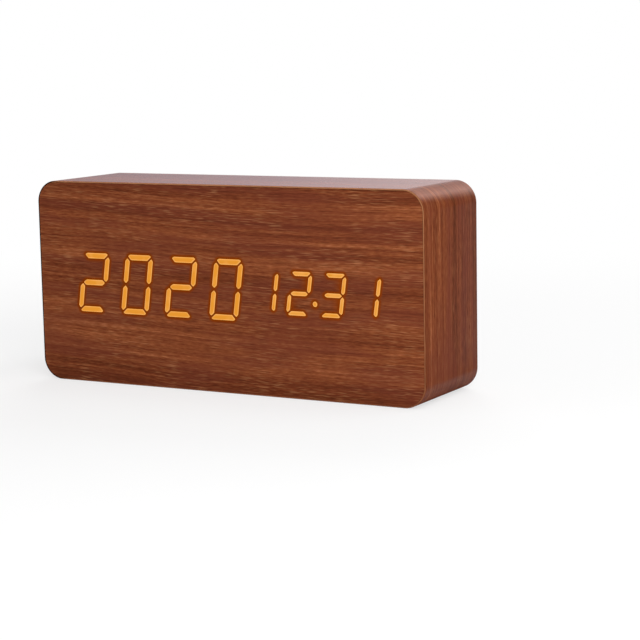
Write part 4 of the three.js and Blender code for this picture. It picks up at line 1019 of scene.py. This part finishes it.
def face_rings(rim_radius, height, spacing):
    """Profile points that cross an end face from its rim to its middle in even steps."""
    radii = np.linspace(rim_radius, 0, max(3, round(rim_radius / spacing)) + 1)[1:-1]
    return np.stack([radii, np.full(len(radii), height)], axis=-1)


def pushed_in(rings, depth, distance, wall):
    """Lowers an end face by `depth` where `distance`, an outline's signed distance, is negative.
    The walls slope over `wall` mm by the smooth step 3s^2 - 2s^3."""
    s = np.clip(-distance / wall, 0, 1)
    share = s * s * (3 - 2 * s)
    rings = rings.copy()
    rings[..., 1] -= depth * share
    return rings, share


# %% Key caps with their marks
CAP_SIDES = 96
STEM_RADIUS, CAP_RADIUS = 1.8, 3.5
SHOULDER_RISE, SHOULDER_THICKNESS = 1.2, 1.0
FACE_RADIUS = CAP_RADIUS - 0.75
FACE_SPACING = 0.07
DISH_DEPTH = 0.12
MARK_SIZE, MARK_CORNERS = 2.8, 0.2
MARK_DEPTH = 0.25
MARK_SHARPNESS = 0.12
KEY_MARKS = {
    "set": [(-1, -1), (1, -1), (1, 1), (-1, 1)],
    "up": [(-1, -1), (1, -1), (0, 1)],
    "down": [(-1, 1), (0, -1), (1, 1)],
}


def key_cap(key):
    """A key: its stem, the shoulder that holds it in, and a slightly dished cap with a mark."""
    low, high, centre = box_mm(f"{key}_button")
    foot, top = low[1], high[1]
    shoulder = (high - low)[0] / 2
    shoulder_front = foot + SHOULDER_RISE
    shoulder_back = shoulder_front + SHOULDER_THICKNESS
    side = soft_profile([
        (0, foot, 0), (STEM_RADIUS, foot, 0.2), (STEM_RADIUS, shoulder_front, 0.15),
        (shoulder, shoulder_front, 0.2), (shoulder, shoulder_back, 0.2),
        (CAP_RADIUS, shoulder_back, 0.1), (CAP_RADIUS, top, 0.5), (FACE_RADIUS, top, 0),
    ])
    profile = np.concatenate([side[1:], face_rings(FACE_RADIUS, top, FACE_SPACING)])
    rings = turned(profile, CAP_SIDES)
    reach = np.hypot(rings[..., 0], rings[..., 2])
    on_top = rings[..., 1] > top - SAME_POINT
    dish = DISH_DEPTH * (1 - (reach / FACE_RADIUS) ** 2)
    rings[..., 1] -= np.where(on_top, dish, 0)
    outline = softened(np.array(KEY_MARKS[key]) * MARK_SIZE / 2, MARK_CORNERS)
    flat = rings[..., [0, 2]].reshape(-1, 2)
    distance = signed_distance(flat, [outline]).reshape(reach.shape)
    distance = np.where(on_top, distance, OUTSIDE)
    rings, share = pushed_in(rings, MARK_DEPTH, distance, MARK_SHARPNESS)
    rings += [centre[0], 0, centre[2]]
    made = piece(f"{key}_cap", skin(rings), f"{key}_key", [f"{key}_button"], key_abs)
    point_values(made, "paint", np.concatenate([share.ravel(), [0, share[-1].max()]]))


for key in KEY_MARKS:
    key_cap(key)

# %% [markdown]
# ## Screws
# The screws are zinc-plated pan heads with a cross recess and a coarse self-tapping thread. The
# thread is a ridge that climbs the shank: the radius grows where (turn / 2 pi + height / pitch) is
# near a whole number and a half.

# %% Make a screw
SCREW_SIDES = 96
THREAD_PITCH = 0.9
PITCH_STEPS, FACE_STEPS = 8, 34
# Under the head the shank narrows over NECK mm. The rings of its core start at FIRST_RING mm and
# the thread at THREAD_TOP mm.
NECK, FIRST_RING, THREAD_TOP = 0.5, 0.6, 0.8
# The ridge's half width as a share of the pitch, and its height as a share of the core's radius.
RIDGE_WIDTH, RIDGE_HEIGHT = 0.22, 0.33
# Shares of the head's radius. The core is a share of the shank's.
SHANK, CROWN, HEAD_FACE = 0.52, 0.12, 0.6
CORE = 0.75
CROSS_ARM, CROSS_WIDTH = 0.6, 0.16
# The cross is half as deep as the head is high. Its walls slope over CROSS_WALL mm.
CROSS_DEPTH, CROSS_WALL = 0.5, 0.12


def screw_shape(node, head_share, outward, tightened):
    """A screw that fills its node's box. `outward` is 1 if its head points to +Y, or -1, and
    `tightened` is the angle at which its cross came to rest."""
    low, high, centre = box_mm(node)
    length = (high - low)[1]
    head = (high - low)[0] / 2
    shank = SHANK * head
    core = CORE * shank
    crown = CROWN * head
    face = HEAD_FACE * head
    head_height = head_share * 2 * head
    first_ring = head_height + FIRST_RING
    depths = np.arange(first_ring, length - shank, THREAD_PITCH / PITCH_STEPS)
    tip = soft_profile([
        (0, -length, 0), (0.25 * shank, -length + 0.1, 0.1), (core, -length + shank, 0.3),
        (core, -depths[-1] - 0.05, 0),
    ])[1:]
    middle = np.stack([np.full(len(depths), core), -depths[::-1]], axis=-1)
    head_side = soft_profile([
        (core, -head_height - NECK, 0), (0.9 * shank, -head_height, 0.1),
        (head, -head_height, 0.08), (head, -crown, 0.5 * head_height),
        (0.75 * head, -0.05 * crown, 0.5), (face, 0, 0),
    ])
    profile = np.concatenate([tip, middle, head_side, face_rings(face, 0, head / FACE_STEPS)])
    rings = turned(profile, SCREW_SIDES)
    turn = np.arange(SCREW_SIDES) / SCREW_SIDES
    phase = (rings[..., 1] / THREAD_PITCH + turn) % 1
    ridge = np.clip(1 - np.abs(phase - 0.5) / RIDGE_WIDTH, 0, 1)
    threaded = rings[..., 1] < -head_height - THREAD_TOP
    threaded &= rings[..., 1] > -length + shank
    growth = np.where(threaded, 1 + ridge * RIDGE_HEIGHT, 1.0)
    rings[..., [0, 2]] *= growth[..., None]
    arm, half_width = CROSS_ARM * head, CROSS_WIDTH * head
    x, z = rings[..., 0], rings[..., 2]
    cosine, sine = math.cos(tightened), math.sin(tightened)
    across = np.abs(np.stack([x * cosine + z * sine, z * cosine - x * sine], axis=-1))
    cross = np.minimum(
        np.maximum(across[..., 0] - arm, across[..., 1] - half_width),
        np.maximum(across[..., 1] - arm, across[..., 0] - half_width),
    )
    cross = np.where(rings[..., 1] > -crown, cross, OUTSIDE)
    rings, _ = pushed_in(rings, CROSS_DEPTH * head_height, cross, CROSS_WALL)
    tip_y = high[1] if outward > 0 else low[1]
    rings[..., 1] = tip_y + outward * rings[..., 1]
    return skin(rings + [centre[0], 0, centre[2]])


# %% [markdown]
# ## Plated steel
# Screws, contacts and the socket's shell are steel with a bright nickel or zinc plate. The plate
# is smooth, with faint drawing lines and a slightly cloudy tone.

# %% Finishes with a cloudy tone
def cloudy(name, first, second, patch, gloss=None, lines=None, relief=(0.2, 0.02), **sockets):
    """A finish whose colour drifts between two tones in patches `patch` mm wide. `gloss` is the
    roughness at either tone. `relief` is the strength and the depth in mm of a bump, which
    follows the patches or, with `lines`, fine lines that many mm apart."""
    material, tree, shader, place = material_with(name, **sockets)
    clouds = add(tree, "TexNoise", {"Vector": place, "Scale": 1 / (patch * MM), "Detail": 3.0})
    tones = {"Factor": clouds, "A": linear(first), "B": linear(second)}
    shade = add(tree, "Mix", tones, data_type="RGBA")
    feed(tree, shader, {"Base Color": shade})
    if gloss:
        sheen = add(tree, "MapRange", {0: clouds, 1: 0.3, 2: 0.7, 3: gloss[0], 4: gloss[1]})
        feed(tree, shader, {"Roughness": sheen})
    if relief:
        height = clouds
        if lines:
            fine = {"Vector": place, "Scale": 1 / (lines * MM), "Detail": 1.0}
            height = add(tree, "TexNoise", fine)
        strength, depth = relief
        bump = {"Height": height, "Strength": strength, "Distance": depth * MM}
        feed(tree, shader, {"Normal": add(tree, "Bump", bump)})
    return material, tree, shader, shade


# %% Plated steel
# Cloudy patches about 3 mm wide, and drawing lines about 0.15 mm apart.
PLATED = {"patch": 3, "lines": 0.15, "relief": (0.15, 0.01), "Metallic": 1.0}
zinc = cloudy("zinc-plated steel", "#b9bcc2", "#8f939a", gloss=(0.26, 0.42), **PLATED)[0]
nickel = cloudy("nickel-plated steel", "#cfcbc2", "#a9a59c", gloss=(0.18, 0.34), **PLATED)[0]

# %% Put the screws in
# A set is its head's height as a share of its width, and the way in which its heads point.
SCREW_SETS = {"panel_screw": (0.26, 1), "display_screw": (0.29, 1), "key_board_screw": (0.29, -1)}
for kind, (head_share, outward) in SCREW_SETS.items():
    for i in range(1, 5):
        node = f"{kind}_{i}"
        # Each cross of a set stops at an angle of its own.
        tightened = math.radians(37 * i + 12)
        shape = screw_shape(node, head_share, outward, tightened)
        piece(f"{kind}_threaded_{i}", shape, "case", [node], zinc)

# %% [markdown]
# ## Power socket
# The socket is a thin steel shell that is drawn in one piece, with a plastic tongue inside. The
# shell is one row of rounded rectangles: up the outside, over the lip, down the inside and
# across the floor.

# %% Fold the shell
SOCKET_WALL = 0.35
SOCKET_CORNER_RADIUS, SOCKET_CORNER_STEPS = 0.9, 8
SOCKET_DEPTH = 5.0
SOCKET_EDGE = 0.3
LIP_STEPS = 9
TONGUE_SIZE = np.array((4.6, 0.7))
TONGUE_CORNER_RADIUS, TONGUE_CORNER_STEPS = 0.2, 4
TONGUE_RISE = 0.4
TONGUE_SETBACK = 0.5


def socket_skin(middle, size, radius, corner_steps, steps):
    """A skin over rounded rectangles. Each step moves the outline in, and gives its depth."""
    rings = []
    for inset, depth in steps:
        ring, _ = rounded_rectangle(middle, size - 2 * inset, radius - inset, corner_steps)
        rings.append(np.insert(ring, 1, depth, axis=1))
    return skin(rings)


socket_low, socket_high, socket_middle = box_mm("power_socket")
socket_size, middle = (socket_high - socket_low)[[0, 2]], socket_middle[[0, 2]]
foot, mouth = socket_low[1], socket_high[1]
bend = SOCKET_WALL / 2
lip = [
    (bend - bend * math.cos(t), mouth - bend + bend * math.sin(t))
    for t in np.linspace(0, math.pi, LIP_STEPS)
]
shell_steps = [
    (SOCKET_EDGE, foot), (0.0, foot + SOCKET_EDGE), *lip,
    (SOCKET_WALL, mouth - SOCKET_DEPTH + SOCKET_EDGE),
    (SOCKET_WALL + SOCKET_EDGE, mouth - SOCKET_DEPTH),
]
tip = mouth - TONGUE_SETBACK
tongue_steps = [
    (0, mouth - SOCKET_DEPTH - 0.05), (0, tip - 0.15), (0.04, tip - 0.04), (0.15, tip)
]
shell_form = (middle, socket_size, SOCKET_CORNER_RADIUS, SOCKET_CORNER_STEPS)
tongue_form = (middle + [0, TONGUE_RISE], TONGUE_SIZE, TONGUE_CORNER_RADIUS, TONGUE_CORNER_STEPS)
shell = socket_skin(*shell_form, shell_steps)
tongue = socket_skin(*tongue_form, tongue_steps)

# %% Nickel shell, black tongue
socket_metal, tree, shader, steel = cloudy(
    "nickel shell, black tongue", "#cfcbc2", "#9d9990", 1.5, gloss=(0.22, 0.38), relief=None
)
on_tongue = add(tree, "Attribute", attribute_name="tongue").outputs["Fac"]
tones = {"Factor": on_tongue, "A": steel, "B": linear("#1a1a1a")}
colour = add(tree, "Mix", tones, data_type="RGBA")
metal_share = add(tree, "Math", {0: 1.0, 1: on_tongue}, operation="SUBTRACT")
feed(tree, shader, {"Base Color": colour, "Metallic": metal_share})
shape = together([shell, tongue])
socket = piece("socket_shell", shape, "case", ["power_socket"], socket_metal)
point_values(socket, "tongue", [0.0] * len(shell[0]) + [1.0] * len(tongue[0]))

# %% [markdown]
# ## Battery cells and their contacts
# Three plain AAA cells lie behind the lid. A cell is a steel can in a lacquered jacket that is
# rolled over both ends, with a nub at one end. Each contact is a plate, and its spring is a wire
# wound into a cone: a small circle carried along the path (x, r cos a, r sin a), where the radius
# r falls evenly as the angle a grows.

# %% The cells' jackets
# Zone 0 is bare steel, 1 the dark jacket and 2 the copper-coloured band at the nub's end.
ZONE_COLOURS = ((0.0, "#c4c2bd"), (0.25, "#26303c"), (0.75, "#a5683c"))
cell_jacket, tree, shader, place = material_with("lacquered cell jacket", Metallic=0.6)
zone = add(tree, "Attribute", attribute_name="zone").outputs["Fac"]
half_zone = add(tree, "Math", {0: zone, 1: 0.5}, operation="MULTIPLY")
bands = add(tree, "ValToRGB", {"Fac": half_zone}, stops=ZONE_COLOURS)
bands.color_ramp.interpolation = "CONSTANT"
# Wear lies in spots about 2 mm wide.
wear = add(tree, "TexNoise", {"Vector": place, "Scale": 1 / (2 * MM), "Detail": 4.0})
worn = {"Factor": 0.25, "A": bands, "B": wear.outputs[0]}
worn = add(tree, "Mix", worn, data_type="RGBA", blend_type="SOFT_LIGHT")
gloss = add(tree, "MapRange", {0: wear, 1: 0.3, 2: 0.7, 3: 0.22, 4: 0.36})
feed(tree, shader, {"Base Color": worn, "Roughness": gloss})

# %% Cells
CELL_SIDES = 96
NUB_LENGTH = 0.8
# The band ends this far below the shoulder. Two rings close together keep its edge sharp.
BAND_START, BAND_FULL = 12, 11.99
JACKET_FROM_RADIUS, JACKET_FROM_END = 3.85, 0.05


def battery_cell(i, side):
    """A cell along X whose nub points to `side`."""
    low, high, centre = box_mm(f"battery_cell_{i}")
    length, radius = (high - low)[0], (high - low)[1] / 2
    shoulder = length - NUB_LENGTH
    profile = soft_profile([
        (0, 0.15, 0), (3.4, 0.15, 0.1), (3.6, 0.0, 0.1), (4.5, 0.0, 0.1), (4.6, 0.12, 0.05),
        (radius, 0.12, 0.35), (radius, 9.0, 0), (radius, shoulder - BAND_START, 0),
        (radius, shoulder - BAND_FULL, 0), (radius, shoulder, 0.6), (3.9, shoulder, 0.05),
        (3.8, shoulder - 0.2, 0.05), (2.3, shoulder - 0.2, 0.1), (1.9, shoulder + 0.1, 0.15),
        (1.9, length, 0.3), (0, length, 0),
    ])[1:-1]
    rings = turned(profile, CELL_SIDES)[..., [1, 0, 2]]
    radii, heights = profile.T
    in_jacket = (radii > JACKET_FROM_RADIUS) & (heights > JACKET_FROM_END)
    zones = np.where(in_jacket, np.where(heights > shoulder - BAND_START, 2.0, 1.0), 0.0)
    start = low[0] if side > 0 else high[0]
    rings[..., 0] = start + side * rings[..., 0]
    rings += [0, centre[1], centre[2]]
    node = f"battery_cell_{i}"
    made = piece(f"cell_{i}", skin(rings), "case", [node], cell_jacket)
    point_values(made, "zone", np.concatenate([np.repeat(zones, CELL_SIDES), [0, 0]]))


for i, side in ((1, -1), (2, 1), (3, -1)):
    battery_cell(i, side)

# %% Wires and springs
WIRE_SIDES = 10
# Any direction that no wire takes.
ASKEW = (0.3, 0.5, 0.8)
BOX_STEPS = 3
LEAST_CORNER = 0.02


def wire(path, radius):
    """A round wire: circles across the path, turned by a frame that never twists. Each frame is
    the last one with the part along the new direction taken away."""
    path = np.asarray(path, float)
    forward = np.gradient(path, axis=0)
    forward /= np.linalg.norm(forward, axis=1, keepdims=True)
    across = np.cross(forward[0], ASKEW)
    frames = []
    for direction in forward:
        across = across - direction * (across @ direction)
        across = across / np.linalg.norm(across)
        frames.append((across, np.cross(direction, across)))
    frames = np.array(frames)
    turn = np.arange(WIRE_SIDES) / WIRE_SIDES * 2 * np.pi
    ring = np.cos(turn)[None, :, None] * frames[:, :1] + np.sin(turn)[None, :, None] * frames[:, 1:]
    return skin(path[:, None] + radius * ring)


def soft_box(low, high, radius):
    """A box with round edges. Rounded rectangles climb along X, and a quarter circle at each end
    shrinks them: inset r (1 - sin t) at the depth r (1 - cos t)."""
    low, high = np.array(low), np.array(high)
    t = np.linspace(0, np.pi / 2, BOX_STEPS + 1)
    inset = radius * (1 - np.sin(t))
    depth = radius * (1 - np.cos(t))
    stations = [*zip(inset, low[0] + depth), *zip(inset[::-1], high[0] - depth[::-1])]
    rings = []
    for narrower, x in stations:
        size = (high - low)[1:] - 2 * narrower
        corner = max(radius - narrower, LEAST_CORNER)
        ring, _ = rounded_rectangle((low + high)[1:] / 2, size, corner, BOX_STEPS)
        rings.append(np.insert(ring, 0, x, axis=1))
    return skin(rings)


# %% Contacts
CONTACT_THICKNESS, CONTACT_WIDTH = 0.4, 8.6
CONTACT_EDGE, TAB_EDGE = 0.15, 0.1
PLATE_GAP, TAB_GAP = 0.1, 0.2
SPRING_WIRE, SPRING_OVERLAP = 0.6, 0.2
SPRING_TURNS, TURN_STEPS = 3, 24
SPRING_LENGTH = 3.4
SPRING_RADII = (3.6, 2.2)
TAB_WIDTH = 2.4
CELL_RADIUS, BAY_GAP = 5.25, 0.3
cell_middles = [box_mm(f"battery_cell_{i}")[2] for i in (1, 2, 3)]
cell_rows = [middle[2] for middle in cell_middles]
cell_axis_y = cell_middles[0][1]
bay_floor_y = cell_axis_y - CELL_RADIUS - BAY_GAP


def cone_spring(x, side, z):
    """A wire cone that grows from the plate towards `side`."""
    t = np.linspace(0, 1, SPRING_TURNS * TURN_STEPS + 1)
    angle = 2 * np.pi * SPRING_TURNS * t
    radius = SPRING_RADII[0] + (SPRING_RADII[1] - SPRING_RADII[0]) * t
    start = x + side * (SPRING_WIRE / 2 - SPRING_OVERLAP)
    end = x + side * (SPRING_LENGTH - SPRING_WIRE / 2)
    path = [start + (end - start) * t]
    path += [cell_axis_y + radius * np.cos(angle), z + radius * np.sin(angle)]
    return wire(np.stack(path, axis=-1), SPRING_WIRE / 2)


def contact(name, node, wall, rows, springs, tab):
    """A contact plate at the left (-1) or right (1) end of the bay, with its springs and tab."""
    low, high, _ = box_mm(node)
    outer = low[0] if wall < 0 else high[0]
    inner = outer - wall * CONTACT_THICKNESS
    near, far = sorted((outer, inner))
    top, bottom = cell_rows[rows[0]] + CONTACT_WIDTH / 2, cell_rows[rows[-1]] - CONTACT_WIDTH / 2
    foot = bay_floor_y + PLATE_GAP
    plate = soft_box((near, foot, bottom), (far, high[1], top), CONTACT_EDGE)
    parts = [plate, *[cone_spring(inner, -wall, cell_rows[row]) for row in springs]]
    if tab:
        z = cell_rows[rows[0]]
        tab_high = (far, bay_floor_y + TAB_GAP, z + TAB_WIDTH / 2)
        parts.append(soft_box((near, low[1], z - TAB_WIDTH / 2), tab_high, TAB_EDGE))
    piece(name, together(parts), "case", [node], nickel)


contact("positive_plate", "battery_contact_positive", -1, [0], [], True)
contact("left_link_plate", "battery_contact_left_link", -1, [1, 2], [1], False)
contact("right_link_plate", "battery_contact_right_link", 1, [0, 1], [0], False)
contact("negative_spring_plate", "battery_contact_negative", 1, [2], [2], True)

# %% [markdown]
# ## What stays hidden
# The block itself, the circuit boards and the parts on them keep the model's shapes. They still
# get the finish of the real thing, because a buyer may take the clock apart.

# %% Fibreboard
# Medium-density fibreboard is pressed from short wood fibres. They lie along X, in cells 3 mm
# long and about half a millimetre thick.
FIBRES_PER_METRE = (1 / (3 * MM), 1 / (0.4 * MM), 1 / (0.6 * MM))
FIBRE_TONES = ((0.3, "#7d5c3a"), (0.5, "#a8835a"), (0.7, "#c0a077"))
fibreboard, tree, shader, place = material_with(
    "raw fibreboard", Roughness=0.9, Specular_IOR_Level=0.2
)
cells = add(tree, "VectorMath", {0: place, 1: FIBRES_PER_METRE}, operation="MULTIPLY")
fibres = {"Vector": cells, "Scale": 1.0, "Detail": 4.0, "Distortion": 0.6}
fibres = add(tree, "TexNoise", fibres)
colour = add(tree, "ValToRGB", {"Fac": fibres}, stops=FIBRE_TONES)
bump = add(tree, "Bump", {"Height": fibres, "Strength": 0.4, "Distance": 0.1 * MM})
feed(tree, shader, {"Base Color": colour, "Normal": bump})

# %% Circuit board
# Solder mask over copper: tracks show as slightly paler lines on a 2.54 mm raster.
TRACKS = {
    "Scale": 1 / MM, "Mortar Size": 0.14, "Mortar Smooth": 0.2, "Brick Width": 7.62,
    "Row Height": 2.54, "Color1": linear("#1b5733"), "Color2": linear("#1f6139"),
    "Mortar": linear("#2f7d4a"),
}
solder_mask, tree, shader, place = material_with("green solder mask", IOR=1.5, Roughness=0.35)
parts = add(tree, "SeparateXYZ", {0: place})
on_board = add(tree, "CombineXYZ", {"X": parts.outputs["X"], "Y": parts.outputs["Z"]})
tracks = add(tree, "TexBrick", {"Vector": on_board, **TRACKS})
bump = {"Height": tracks.outputs["Fac"], "Strength": 0.3, "Distance": 0.03 * MM}
feed(tree, shader, {"Base Color": tracks, "Normal": add(tree, "Bump", bump)})

# %% Sleeves, resins and cans
epoxy = cloudy("black moulding epoxy", "#1b1b1d", "#2a2a2c", 0.5, Roughness=0.55, IOR=1.55)[0]
can = cloudy("drawn aluminium", "#d2d3d6", "#b3b5ba", 1.5, Roughness=0.3, Metallic=1.0)[0]
bead = cloudy("dipped epoxy bead", "#7e5226", "#996730", 0.8, Roughness=0.25, IOR=1.55)[0]
ribbon = cloudy("grey PVC ribbon", "#94979b", "#a3a6aa", 2.0, Roughness=0.45, IOR=1.53)[0]
red_pvc = cloudy("red PVC sleeve", "#9a1f18", "#b02a21", 2.0, Roughness=0.4, IOR=1.53)[0]
black_pvc = cloudy("black PVC sleeve", "#1d1d1d", "#2b2b2b", 2.0, Roughness=0.4, IOR=1.53)[0]

# %% Finish what keeps the model's shape
SLOT_FINISHES = {
    "wood_grain_film": back_walnut,
    "fibreboard": fibreboard,
    "amber_light_guide": amber,
    "black_abs": black_abs,
    "green_circuit_board": solder_mask,
    "chip_resin": epoxy,
    "plated_steel": nickel,
    "aluminium_can": can,
    "battery_jacket": cell_jacket,
    "thermistor_resin": bead,
    "grey_ribbon": ribbon,
    "red_sleeve": red_pvc,
    "black_sleeve": black_pvc,
}
for subpart in frame["record"]["subparts"]:
    node = frame["nodes"][subpart["node"]]
    for material_slot in node.material_slots:
        material_slot.material = SLOT_FINISHES[subpart["material_slot"]]
print("finishes:", len(SLOT_FINISHES))
